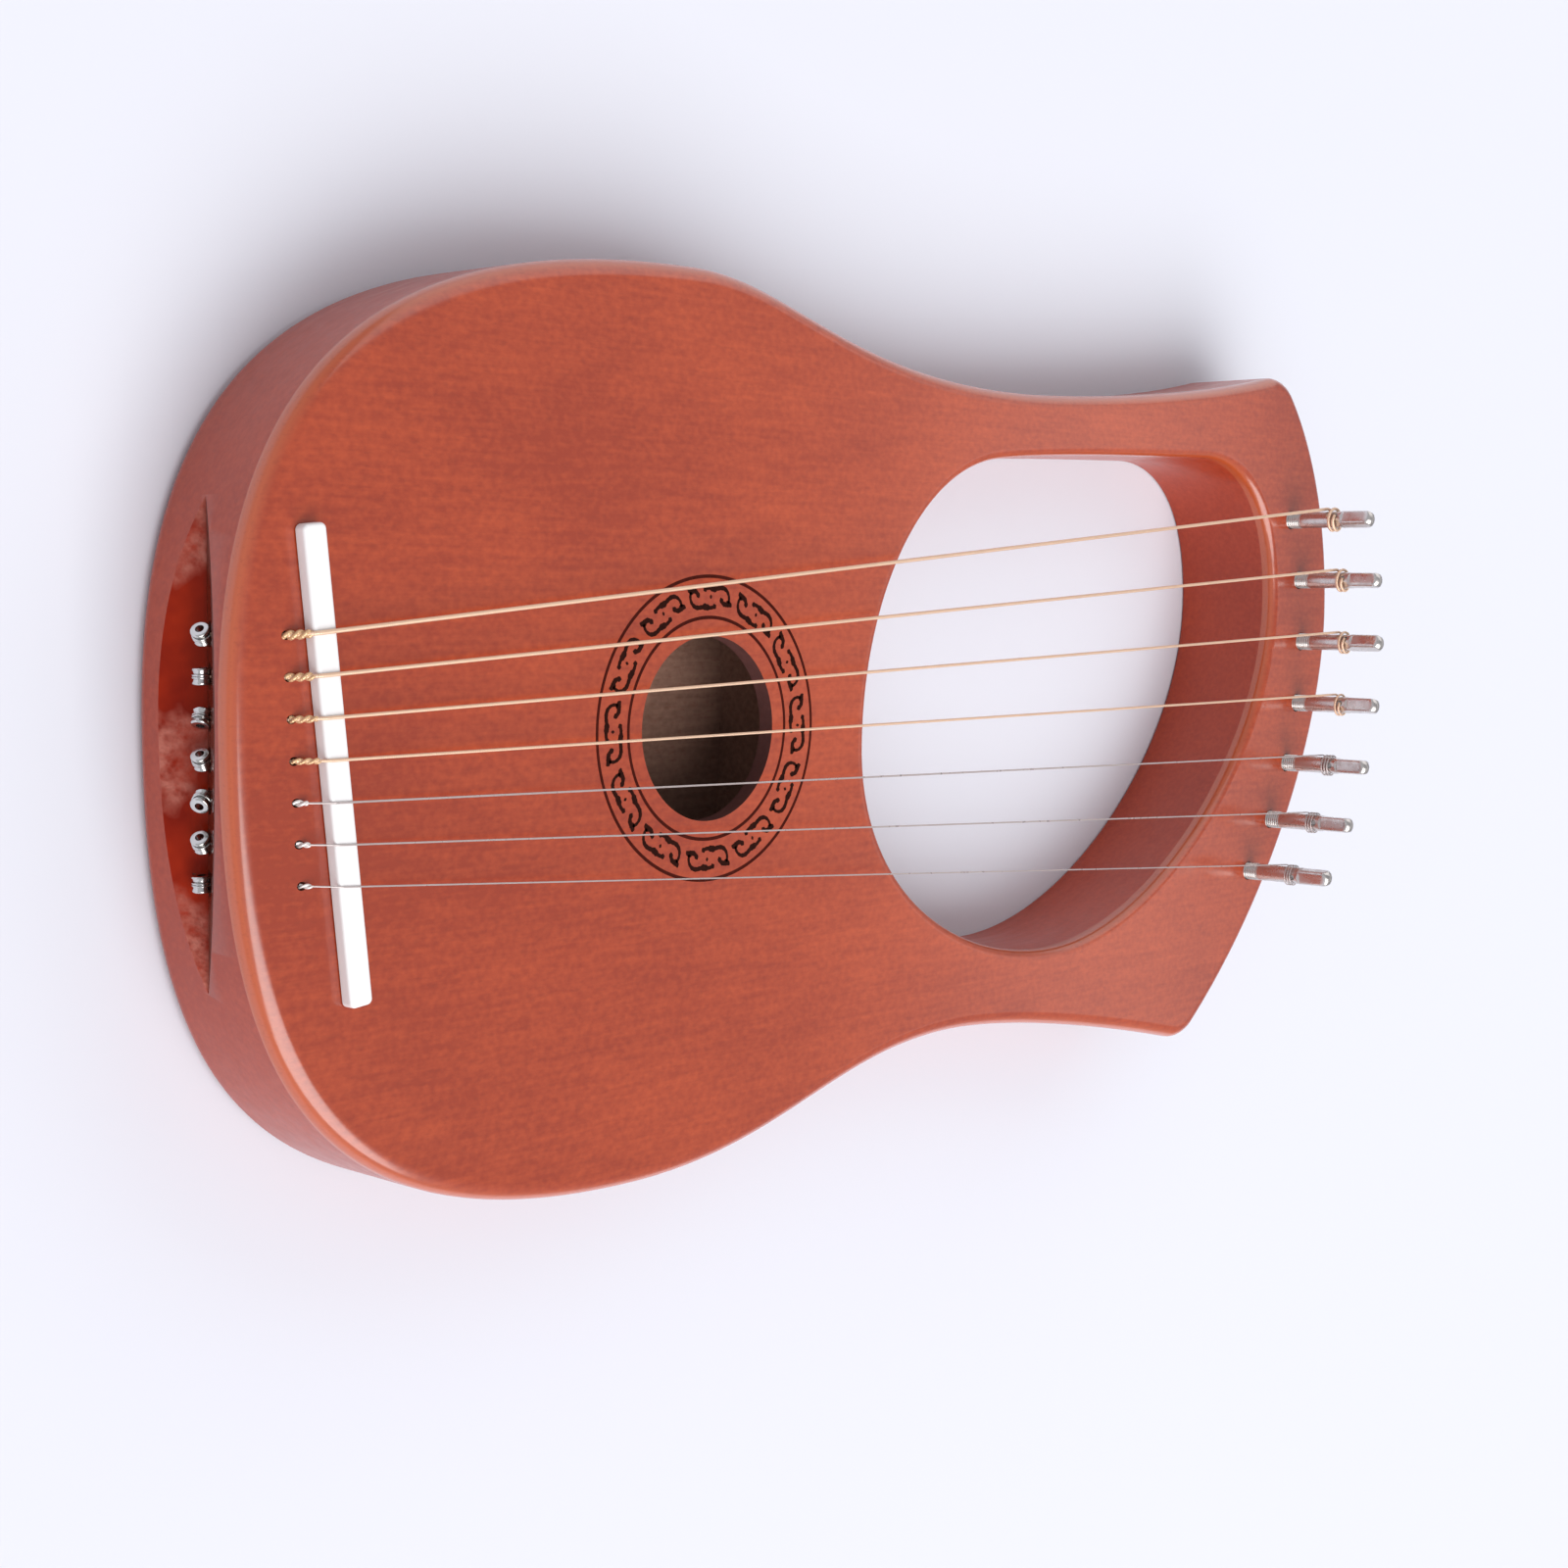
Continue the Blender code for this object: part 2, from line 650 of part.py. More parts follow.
def least_gap(points, diameter):
    """Least clear distance between turns: points more than half a turn apart, less the wire."""
    path = np.array(points)
    far = LOOP_POINTS // 2
    between = np.linalg.norm(path[:, None] - path[None], axis=2)
    rows, columns = np.indices(between.shape)
    return float(between[np.abs(rows - columns) > far].min()) - diameter


def turn_points(centre, radius, start_angle, turns, low, rise):
    """Points of a helix that runs clockwise seen from above and climbs by rise."""
    count = round(turns * LOOP_POINTS)
    points = []
    for i in range(count + 1):
        angle = start_angle - 2 * math.pi * i / LOOP_POINTS
        height = low + rise * i / max(count, 1)
        points.append(Vector((centre.x + radius * math.cos(angle), centre.y + radius * math.sin(angle), height)))
    return points


def string_layout(index):
    """Where a string leaves its hole, meets its pin and winds on it."""
    hole = string_hole_places()[index]
    pin = pin_places()[index]
    diameter = STRING_DIAMETERS[index]
    radius = PIN_RADIUS + WIRE_GAP + diameter / 2
    pitch = diameter + COIL_GAP
    line = pin - hole
    aside = math.asin(radius / line.length)
    heading = Matrix.Rotation(aside, 2) @ line.normalized()
    meet_angle = math.atan2(heading.y, heading.x) + math.pi / 2
    low = TOP + EYE_UP - pitch * (COIL_TURNS[index] + 1)
    return hole, pin, diameter, radius, pitch, heading, meet_angle, low


def make_string(index, material):
    """The stretch from the ball end over the saddle, with its first wrap round the pin."""
    hole, pin, diameter, radius, _, heading, meet_angle, low = string_layout(index)
    direction = string_hole_direction()
    ball = ball_places()[index]
    mouth = Vector((hole.x, hole.y, TOP))
    start = ball - direction * (ball_reach() + WIRE_GAP)
    bend = mouth - direction * (diameter / 2)

    tilt = math.radians(SADDLE_TILT)
    saddle_y = BASE_Y + SADDLE_UP + (hole.x - SADDLE_RIGHT) * math.tan(tilt)
    front_run = (saddle_y - SADDLE_WIDTH / 2 - hole.y) / heading.y
    saddle_top = TOP + GLUE_GAP + SADDLE_HEIGHT + WIRE_GAP + diameter / 2
    front = hole + heading * front_run
    back = hole + heading * (front_run + SADDLE_WIDTH)

    wrap = turn_points(pin, radius, meet_angle, FIRST_WRAP, low, 0.0)
    end = wrap[-1] + (wrap[-1] - wrap[-2]).normalized() * diameter
    points = [start, bend, (*front, saddle_top), (*back, saddle_top), *wrap, end]
    wire(f"string_{index + 1}", points, diameter / 2, material)


def make_coil(index, holder, material):
    """The turns that ride on the pin, one wire whose end runs straight into the pin's eye."""
    _, _, diameter, radius, pitch, _, meet_angle, low = string_layout(index)
    start_angle = meet_angle - 2 * math.pi * FIRST_WRAP
    turns = COIL_TURNS[index]
    path = turn_points(Vector((0.0, 0.0)), radius, start_angle, turns, low + pitch, pitch * turns)
    start = path[0] + (path[0] - path[1]).normalized() * diameter
    start.z = path[0].z
    eye_angle = math.atan2(path[-1].y, path[-1].x)
    inward = Vector((math.cos(eye_angle), math.sin(eye_angle), 0.0))
    height = Vector((0.0, 0.0, path[-1].z))
    bend = inward * PIN_RADIUS + height
    end = inward * (PIN_RADIUS - diameter) + height
    points = [start, *path[:-2], bend, end]
    coil = wire(f"string_coil_{index + 1}", points, diameter / 2, material)
    coil.parent = holder
    return eye_angle, least_gap(points, diameter)


def make_pins_and_strings():
    mesh = drilled_pin_mesh()
    for index, place in enumerate(pin_places()):
        material = GOLD_WOUND if index < WOUND_STRINGS else STEEL
        holder = bpy.data.objects.new(f"pin_axis_{index + 1}", None)
        HARP.objects.link(holder)
        holder.location = (place.x, place.y, 0.0)
        eye_angle, gap = make_coil(index, holder, material)
        print(f"string_coil_{index + 1}: least gap to itself {gap * 1000:.2f} mm")
        pin = add_part(f"tuning_pin_{index + 1}", mesh, NICKEL)
        pin.location = (0.0, 0.0, TOP)
        pin.rotation_euler.z = eye_angle
        pin.parent = holder
        make_string(index, material)


def ball_mesh():
    """A ball end: a small turned spool with a bore and a groove, about Z."""
    half = BALL_WIDTH / 2
    rim = BALL_RADIUS
    groove = BALL_RADIUS - BALL_GROOVE_DEPTH
    bore = BALL_BORE_RADIUS
    profile = [
        (bore, half),
        (rim - BALL_CHAMFER, half),
        (rim, half - BALL_CHAMFER),
        (groove, 0.0),
        (rim, -half + BALL_CHAMFER),
        (rim - BALL_CHAMFER, -half),
        (bore, -half),
    ]
    mesh = bpy.data.meshes.new("ball_end")
    edges = [(i, (i + 1) % len(profile)) for i in range(len(profile))]
    mesh.from_pydata([(x, 0.0, z) for x, z in profile], edges, [])
    return mesh


def make_ball_ends():
    """Seven spools, whose axes are square to the strings that pull on them."""
    mesh = ball_mesh()
    tip = Matrix.Rotation(math.radians(STRING_HOLE_SLOPE), 3, "X")
    for index, place in enumerate(ball_places()):
        ball = add_part(f"ball_end_{index + 1}", mesh, NICKEL)
        ball.location = place
        turn = Matrix.Rotation(math.radians(BALL_TURNS[index]), 3, string_hole_direction())
        ball.rotation_euler = (turn @ tip).to_euler()
        screw = ball.modifiers.new("turned", "SCREW")
        screw.steps = BALL_STEPS
        screw.render_steps = BALL_STEPS
        screw.use_merge_vertices = True
        screw.merge_threshold = MERGE_DISTANCE


clear_scene()
HARP = new_collection("lyre_harp")
CUTTERS = new_collection("cutters")

MAHOGANY = new_material("mahogany_soundboard", (0.45, 0.090, 0.048), 0.35)
MAHOGANY_SIDES = new_material("mahogany_sides", (0.38, 0.075, 0.042), 0.35)
MAHOGANY_BACK = new_material("mahogany_back", (0.42, 0.085, 0.045), 0.35)
SPRUCE = new_material("brace_wood", (0.62, 0.46, 0.28), 0.7)
BONE = new_material("saddle_white", (0.88, 0.86, 0.82), 0.35)
NICKEL = new_material("nickel_plate", (0.72, 0.70, 0.68), 0.22, 1.0)
GOLD_WOUND = new_material("bronze_winding", (0.85, 0.56, 0.28), 0.3, 1.0)
STEEL = new_material("plain_steel", (0.70, 0.69, 0.68), 0.25, 1.0)

make_body()
make_brace("soundboard_brace", BASE_Y + SOUNDBOARD_BRACE_UP, FRAME_HIGH, -1)
make_brace("back_brace", BASE_Y + BACK_BRACE_UP, FRAME_LOW, 1)
make_saddle()
make_pins_and_strings()
make_ball_ends()
bpy.context.view_layer.update()
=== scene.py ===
import math

import bmesh
import bpy
import numpy as np
from mathutils import Matrix, Vector


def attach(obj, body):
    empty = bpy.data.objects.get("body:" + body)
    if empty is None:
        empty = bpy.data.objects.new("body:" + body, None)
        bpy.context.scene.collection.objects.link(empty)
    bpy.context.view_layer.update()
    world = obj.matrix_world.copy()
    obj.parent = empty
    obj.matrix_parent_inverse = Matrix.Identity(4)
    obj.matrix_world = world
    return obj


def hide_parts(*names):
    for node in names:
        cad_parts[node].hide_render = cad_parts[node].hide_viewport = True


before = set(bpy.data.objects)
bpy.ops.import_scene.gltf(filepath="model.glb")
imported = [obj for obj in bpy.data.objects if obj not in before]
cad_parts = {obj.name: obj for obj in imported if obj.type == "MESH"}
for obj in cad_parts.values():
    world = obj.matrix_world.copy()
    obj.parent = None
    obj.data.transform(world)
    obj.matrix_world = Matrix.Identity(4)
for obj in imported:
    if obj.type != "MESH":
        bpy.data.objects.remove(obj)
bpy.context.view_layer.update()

# Back plate
# A 4 mm mahogany board glued under the frame. Its outline and its hand opening are those of the
# whole harp, its lower edges are rounded by hand, and it is stained and lacquered after glue-up.
BODY_THICKNESS = 0.0335
BOARD_THICKNESS = 0.004
EDGE_RADIUS = 0.0038
OPENING_TOP_RADIUS = 0.0025
OPENING_FOOT_RADIUS = 0.0010
EDGE_STEPS = 8
GLUE_LINE = 0.00015
ARC_STEPS = 72
OPENING_CENTRE = (-0.010, 0.080)
BLOTCH_SHARE = 0.45
STREAK_SHARE = 0.35
FIBRE_SHARE = 0.65
MOTTLE_SHARE = 0.4
FIBRE_RELIEF = 0.25
PORE_NOISE = (0.56, 0.72)
PORE_COLOUR = (0.16, 0.022, 0.008)
# The wood's tone grows darker between the two reach distances from this middle point.
TONE_MIDDLE = (0.0, 0.03, 0.03)
TONE_REACH = (0.07, 0.2)
TONE_CHANGE = 0.12
EDGE_BLEND = 900.0
LACQUER_ROUGHNESS = (0.36, 0.46)
GRAIN_DEPTH = 0.00003
BODY_OUTLINE = [
    (-5.50, -206.00, 0.0, 66.00, 66.00),
    (104.50, -97.30, 90.0, 93.60, 49.70),
    (84.50, 18.00, 90.0, 46.20, 28.30),
    (100.30, 120.89, 77.0, 28.30, 4.22),
    (97.69, 132.66, 128.0, 4.22, 57.00),
    (-25.90, 206.00, 180.0, 37.50, 34.30),
    (-92.29, 183.11, 221.5, 14.60, 5.05),
    (-96.70, 169.71, 282.0, 5.05, 36.30),
    (-84.00, 43.60, 270.0, 27.70, 70.00),
    (-104.50, -78.60, 270.0, 32.00, 92.50),
]
OPENING_OUTLINE = [
    (8.00, -19.80, 0.0, 38.50, 38.50),
    (67.30, 61.00, 90.0, 39.00, 50.30),
    (-29.00, 172.50, 180.0, 47.60, 29.50),
    (-70.90, 134.00, 271.8, 21.50, 24.00),
    (-66.00, 35.00, 276.8, 24.00, 32.00),
]


def unit(rows):
    """The rows, each brought to length one."""
    return rows / np.linalg.norm(rows, axis=1, keepdims=True)


def full_turn(count):
    """Angles that share out a full turn evenly."""
    return np.linspace(0, 2 * np.pi, count, endpoint=False)


def smooth_outline(keys, steps):
    """A closed chain of cubic arcs. Each key is a place in mm, a heading in degrees and the lengths
    of the handles behind and ahead of it. Gives the points and the directions to the right of travel."""
    place = np.array([key[:2] for key in keys]) / 1000
    turn = np.radians([key[2] for key in keys])
    heading = np.stack([np.cos(turn), np.sin(turn)], 1)
    behind = np.array([key[3] for key in keys])[:, None] / 1000
    ahead = np.array([key[4] for key in keys])[:, None] / 1000
    p0 = place[:, None]
    p1 = (place + heading * ahead)[:, None]
    p2 = np.roll(place - heading * behind, -1, 0)[:, None]
    p3 = np.roll(place, -1, 0)[:, None]
    t = np.linspace(0, 1, steps, endpoint=False)[None, :, None]
    s = 1 - t
    points = s**3 * p0 + 3 * s * s * t * p1 + 3 * s * t * t * p2 + t**3 * p3
    slope = s * s * (p1 - p0) + 2 * s * t * (p2 - p1) + t * t * (p3 - p2)
    points, slope = points.reshape(-1, 2), unit(slope.reshape(-1, 2))
    return points, np.stack([slope[:, 1], -slope[:, 0]], 1)


def paired_outline(points, normals, other, other_normals, centre):
    """The place on the other outline that lies in the same direction from the centre as each point."""
    angle = np.unwrap(np.arctan2(*(points - centre).T[::-1]))
    theirs = np.unwrap(np.arctan2(*(other - centre).T[::-1]))
    theirs = np.append(theirs, theirs[0] + 2 * np.pi)
    wrapped = theirs[0] + (angle - theirs[0]) % (2 * np.pi)
    row = np.interp(wrapped, theirs, np.arange(len(theirs)))
    low = np.floor(row).astype(int)
    share = (row - low)[:, None]

    def between(values):
        values = np.vstack([values, values[:1]])
        high = np.minimum(low + 1, len(values) - 1)
        return values[low] * (1 - share) + values[high] * share

    return between(other), between(other_normals)


def grid_faces(rows, columns, close_rows, close_columns):
    """Quads between the neighbouring points of a grid, joined round where a direction is closed."""
    index = np.arange(rows * columns).reshape(rows, columns)
    if close_rows:
        index = np.vstack([index, index[:1]])
    if close_columns:
        index = np.hstack([index, index[:, :1]])
    return np.stack([index[:-1, :-1], index[:-1, 1:], index[1:, 1:], index[1:, :-1]], -1).reshape(-1, 4)


def new_piece(name, grids, material, close_rows=True, close_columns=True, along=None, sharp=35.0):
    """A mesh of one or more grids of points (rows x columns x 3). Points that meet, as at a pole, are
    joined. along gives each row's distance along the piece, kept as the V of its UV map."""
    points, faces, uvs, first = [], [], [], 0
    for k, grid in enumerate(grids):
        rows, columns = grid.shape[:2]
        quads = grid_faces(rows, columns, close_rows, close_columns)
        if along is not None:
            v = np.broadcast_to(np.asarray(along[k])[:, None], (rows, columns)).ravel()
            u = np.broadcast_to(np.arange(columns)[None] / columns, (rows, columns)).ravel()
            corner_u = u[quads]
            corner_u = np.where(corner_u < corner_u.max(1, keepdims=True) - 0.5, corner_u + 1, corner_u)
            uvs.append(np.stack([corner_u, v[quads]], -1).reshape(-1, 2))
        points.append(grid.reshape(-1, 3))
        faces.append(quads + first)
        first += rows * columns
    points, faces = np.concatenate(points), np.concatenate(faces)
    mesh = bpy.data.meshes.new(name)
    mesh.vertices.add(len(points))
    mesh.vertices.foreach_set("co", points.astype(np.float32).ravel())
    mesh.loops.add(faces.size)
    mesh.loops.foreach_set("vertex_index", faces.astype(np.int32).ravel())
    mesh.polygons.add(len(faces))
    mesh.polygons.foreach_set("loop_start", np.arange(0, faces.size, 4, dtype=np.int32))
    if uvs:
        layer = mesh.uv_layers.new(name="UVMap")
        layer.data.foreach_set("uv", np.concatenate(uvs).astype(np.float32).ravel())
    mesh.update(calc_edges=True)
    bm = bmesh.new()
    bm.from_mesh(mesh)
    bmesh.ops.remove_doubles(bm, verts=bm.verts, dist=1e-7)
    bmesh.ops.recalc_face_normals(bm, faces=bm.faces)
    bm.to_mesh(mesh)
    bm.free()
    mesh.shade_smooth()
    mesh.set_sharp_from_angle(angle=math.radians(sharp))
    mesh.materials.append(material)
    piece = bpy.data.objects.new(name, mesh)
    bpy.context.scene.collection.objects.link(piece)
    return piece


def climbing_wall(low, high, low_rounding, high_rounding):
    """Steps up a wall as pairs of distance outwards and height. A rounding is a quarter circle that
    starts or ends level, one radius inside the wall."""
    bend = np.linspace(0, math.pi / 2, EDGE_STEPS + 1)
    steps = [(0.0, low)]
    if low_rounding:
        steps = list(zip(-low_rounding * (1 - np.sin(bend)), low + low_rounding * (1 - np.cos(bend))))
    start, stop = low + low_rounding, high - high_rounding
    steps += [(0.0, start + (stop - start) * share) for share in (0.35, 0.65)]
    if high_rounding:
        return steps + list(zip(-high_rounding * (1 - np.cos(bend)), stop + high_rounding * np.sin(bend)))
    return steps + [(0.0, high)]


def board(name, low, high, outer_roundings, opening_roundings, material):
    """A layer of the body as a ring: a section carried round the outline. The section climbs the
    outer wall, crosses the upper face to the hand opening, goes down its wall and back underneath.
    The roundings are the radii of its lower and upper edges."""
    outer, outward = smooth_outline(BODY_OUTLINE, ARC_STEPS)
    fine, fine_out = smooth_outline(OPENING_OUTLINE, 6 * ARC_STEPS)
    inner, inward = paired_outline(outer, outward, fine, -fine_out, np.array(OPENING_CENTRE))

    def wall(edge, normal, steps):
        return [np.column_stack([edge + normal * out, np.full(len(edge), z)]) for out, z in steps]

    def face(start, end):
        return [start * (1 - share) + end * share for share in (0.004, 0.25, 0.5, 0.75, 0.996)]

    outside = wall(outer, outward, climbing_wall(low, high, *outer_roundings))
    inside = wall(inner, unit(inward), climbing_wall(low, high, *opening_roundings)[::-1])
    section = outside + face(outside[-1], inside[0]) + inside + face(inside[-1], outside[0])
    return new_piece(name, [np.stack(section, 1)], material)


def add_node(tree, kind, inputs=(), **settings):
    """A shader node with its settings made and its inputs given a value or a link."""
    node = tree.nodes.new("ShaderNode" + kind)
    for name, value in settings.items():
        setattr(node, name, value)
    for key, value in dict(inputs).items():
        if isinstance(value, bpy.types.NodeSocket):
            tree.links.new(value, node.inputs[key])
        else:
            node.inputs[key].default_value = value
    return node


def new_material(name):
    """A material with its node tree and its Principled shader."""
    material = bpy.data.materials.new(name)
    material.use_nodes = True
    return material, material.node_tree, material.node_tree.nodes["Principled BSDF"]


def object_place(tree):
    """The place on the piece, in metres, as the piece's own Object coordinates give it."""
    return add_node(tree, "TexCoord").outputs["Object"]


def noise(tree, place, scale, detail):
    """Noise between 0 and 1, with a given number of features per metre."""
    return add_node(tree, "TexNoise", {"Vector": place, "Scale": scale, "Detail": detail}).outputs["Fac"]


def remapped(tree, value, low, high, to_low=0.0, to_high=1.0):
    """A value carried from one range to another and clamped to it."""
    inputs = {"Value": value, "From Min": low, "From Max": high, "To Min": to_low, "To Max": to_high}
    return add_node(tree, "MapRange", inputs).outputs[0]


def worked_out(tree, operation, *values):
    """The result of one Math node."""
    return add_node(tree, "Math", dict(enumerate(values)), operation=operation).outputs[0]


def mixed(tree, share, first, second):
    """A colour between two. Each is a link or three numbers."""
    ends = [(*end, 1) if isinstance(end, tuple) else end for end in (first, second)]
    return add_node(tree, "Mix", {"Factor": share, 6: ends[0], 7: ends[1]}, data_type="RGBA").outputs[2]


def show_relief(tree, shader, height, depth, strength):
    """Lets a height between 0 and 1 show as a relief of the given depth."""
    relief = add_node(tree, "Bump", {"Height": height, "Distance": depth, "Strength": strength})
    tree.links.new(relief.outputs[0], shader.inputs["Normal"])


def wood_grain_group():
    """Grain that runs along Y: wide blotches, faint long streaks, fine fibres, a mottle of rays and
    short dark pores. The tone is lighter round the middle of the harp and darker away from it. Edge is
    mixed in below the given height, where a rounded edge is sanded paler."""
    tree = bpy.data.node_groups.new("wood_grain", "ShaderNodeTree")
    for name, kind, value in (
        ("Light", "NodeSocketColor", (0.5, 0.2, 0.1, 1)),
        ("Dark", "NodeSocketColor", (0.3, 0.1, 0.05, 1)),
        ("Edge", "NodeSocketColor", (0.6, 0.15, 0.04, 1)),
        ("Edge Height", "NodeSocketFloat", 0.0),
        ("Streaks", "NodeSocketFloat", 0.3),
        ("Pores", "NodeSocketFloat", 0.3),
    ):
        tree.interface.new_socket(name, in_out="INPUT", socket_type=kind).default_value = value
    tree.interface.new_socket("Color", in_out="OUTPUT", socket_type="NodeSocketColor")
    tree.interface.new_socket("Height", in_out="OUTPUT", socket_type="NodeSocketFloat")
    tree.interface.new_socket("Roughness", in_out="OUTPUT", socket_type="NodeSocketFloat")
    given = tree.nodes.new("NodeGroupInput")
    result = tree.nodes.new("NodeGroupOutput")
    place = object_place(tree)

    def grain(per_metre, detail, offset, low=0.3, high=0.7):
        inputs = {"Vector": place, "Scale": per_metre, "Location": (offset, offset, offset)}
        moved = add_node(tree, "Mapping", inputs).outputs[0]
        return remapped(tree, noise(tree, moved, 1.0, detail), low, high)

    def product(a, b):
        return worked_out(tree, "MULTIPLY", a, b)

    def total(a, b):
        return worked_out(tree, "ADD", a, b)

    blotch = grain((24, 14, 24), 3.0, 0.0)
    streak = grain((300, 12, 300), 3.0, 3.1)
    fibre = grain((850, 60, 850), 2.0, 7.7)
    mottle = grain((750, 560, 750), 2.0, 5.2)
    pore = grain((1500, 420, 1500), 1.0, 1.3, PORE_NOISE[0], PORE_NOISE[1])
    lines = total(product(streak, STREAK_SHARE), product(fibre, FIBRE_SHARE))
    tone = total(product(blotch, BLOTCH_SHARE), product(lines, given.outputs["Streaks"]))
    tone = total(tone, product(mottle, MOTTLE_SHARE))
    # Lighter round the middle of the harp, darker away from it.
    away = add_node(tree, "VectorMath", {0: place, 1: TONE_MIDDLE}, operation="DISTANCE").outputs["Value"]
    tone = total(tone, remapped(tree, away, *TONE_REACH, -TONE_CHANGE, TONE_CHANGE))
    tone = add_node(tree, "Clamp", {0: tone}).outputs[0]
    stained = mixed(tree, tone, given.outputs["Light"], given.outputs["Dark"])
    height = add_node(tree, "SeparateXYZ", {0: place}).outputs[2]
    below = product(worked_out(tree, "SUBTRACT", given.outputs["Edge Height"], height), EDGE_BLEND)
    rounded = add_node(tree, "Clamp", {0: below}).outputs[0]
    stained = mixed(tree, rounded, stained, given.outputs["Edge"])
    depth = product(pore, given.outputs["Pores"])
    tree.links.new(mixed(tree, depth, stained, PORE_COLOUR), result.inputs["Color"])
    tree.links.new(worked_out(tree, "SUBTRACT", product(fibre, FIBRE_RELIEF), depth), result.inputs["Height"])
    tree.links.new(remapped(tree, streak, 0.0, 1.0, *LACQUER_ROUGHNESS), result.inputs["Roughness"])
    return tree


WOOD_GRAIN = wood_grain_group()


def wood(name, light, dark, streaks, pores, coat=0.0, raw=0.0, edge=None, coat_index=1.6, satin=0.22):
    """Wood with the grain group: stained and lacquered where it has a coat, and duller where it is raw.
    edge is a colour and the height below which the rounded edge takes it."""
    material, tree, shader = new_material(name)
    grain = tree.nodes.new("ShaderNodeGroup")
    grain.node_tree = WOOD_GRAIN
    grain.inputs["Light"].default_value = (*light, 1)
    grain.inputs["Dark"].default_value = (*dark, 1)
    if edge:
        grain.inputs["Edge"].default_value = (*edge[0], 1)
        grain.inputs["Edge Height"].default_value = edge[1]
    grain.inputs["Streaks"].default_value = streaks
    grain.inputs["Pores"].default_value = pores
    rough = worked_out(tree, "ADD", grain.outputs["Roughness"], raw)
    tree.links.new(grain.outputs["Color"], shader.inputs["Base Color"])
    tree.links.new(rough, shader.inputs["Roughness"])
    show_relief(tree, shader, grain.outputs["Height"], GRAIN_DEPTH, 0.6)
    shader.inputs["Coat Weight"].default_value = coat
    shader.inputs["Specular IOR Level"].default_value = 0.1
    shader.inputs["Coat Roughness"].default_value = satin
    shader.inputs["Coat IOR"].default_value = coat_index
    return material


STAINED_SIDES = wood("stained_sides", (0.46, 0.056, 0.015), (0.32, 0.032, 0.008), 0.4, 0.15, coat=0.6)
RAW_WOOD = wood("raw_inside", (0.37, 0.205, 0.15), (0.22, 0.118, 0.085), 0.6, 0.2, raw=0.35)


def leave_unfinished(board_piece, upwards):
    """The glued face of a board, above or below, is left raw: it closes the sound chamber."""
    mesh = board_piece.data
    mesh.materials.append(RAW_WOOD)
    normals = np.empty(len(mesh.polygons) * 3, np.float32)
    mesh.polygons.foreach_get("normal", normals)
    raw = (normals.reshape(-1, 3)[:, 2] * (1 if upwards else -1)) > 0.99
    slots = np.zeros(len(mesh.polygons), np.int32)
    mesh.polygons.foreach_get("material_index", slots)
    slots = np.where(raw, len(mesh.materials) - 1, slots)
    mesh.polygons.foreach_set("material_index", slots.astype(np.int32))


low_board = board(
    "back_board",
    0.0,
    BOARD_THICKNESS + GLUE_LINE,
    (EDGE_RADIUS, 0.0),
    (OPENING_FOOT_RADIUS, 0.0),
    STAINED_SIDES,
)
leave_unfinished(low_board, True)
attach(low_board, "body")
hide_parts("back_plate")

# Frame
# The thick middle of the body, sawn from one mahogany plank: rim, tail block, waist block, arms and
# yoke. The sound chamber is routed right through it, and the end wall has a V notch for the ball ends.
FRAME_LOW = 0.0043
FRAME_HIGH = 0.0292
CHAMBER_OUTLINE = [
    (0.00, -180.00, 0.0, 62.90, 62.90),
    (92.50, -97.30, 90.0, 56.24, 37.74),
    (0.00, -41.80, 180.0, 62.90, 62.90),
    (-92.50, -78.60, 270.0, 25.02, 68.95),
]
STRINGS = 7
NOTCH_EDGE = (-0.1992, 0.0155)
NOTCH_DEPTH = 0.0268
NOTCH_UPPER_SLOPE = 62.0
NOTCH_LOWER_SLOPE = 45.0
NOTCH_HALF_LENGTH = 0.1045
PIN_ARC_CENTRE = (-0.0158, 0.0886)
PIN_ARC_RADIUS = 0.1003
PIN_ANGLES = np.radians(-22.2 + 11.04 * np.arange(STRINGS))
PIN_PLACES = np.array(PIN_ARC_CENTRE) + PIN_ARC_RADIUS * np.stack([np.sin(PIN_ANGLES), np.cos(PIN_ANGLES)], 1)
PIN_HOLE_RADIUS = 0.0028
PIN_HOLE_BOTTOM = 0.0207
PIN_HOLE_TOP = 0.06
PIN_HOLE_SIDES = 40
HOLE_ROW_MIDDLE = (0.0034, -0.1914)
HOLE_ROW_TILT = math.radians(4.0)
HOLE_SPACING = 0.00825
HOLE_PLACES = np.array(HOLE_ROW_MIDDLE) + np.outer(
    (np.arange(STRINGS) - STRINGS // 2) * HOLE_SPACING, [math.cos(HOLE_ROW_TILT), math.sin(HOLE_ROW_TILT)]
)
HOLE_SLOPE = math.radians(55.0)
HOLE_WAY = np.array([0.0, -math.cos(HOLE_SLOPE), -math.sin(HOLE_SLOPE)])
HOLE_RADIUS = 0.0009
HOLE_OVERRUN = 0.02
HOLE_SIDES = 24
BALL_PROUD = 0.0016
BALL_SEAT_RADIUS = 0.0027
BALL_SEAT_SIDES = 32
CHAMBER_REACH = (-0.01, 0.05)
POOL_TURN = 157.0
POOL_SHARE = 0.16
POOLED_RED = (0.33, 0.022, 0.006)
POOLED_DARK_RED = (0.20, 0.011, 0.004)
WRINKLE_PALE = (0.44, 0.135, 0.10)
WRINKLE_DEPTH = 0.0004
# Painted shade for the notch's upper slope, which faces down into the notch.
UPPER_SLOPE_PAINTED_SHADE = (0.07, 0.014, 0.008)


def at_height(places, z):
    """Places in the plane as points in space, all at one height."""
    return np.column_stack([places, np.full(len(places), z)])


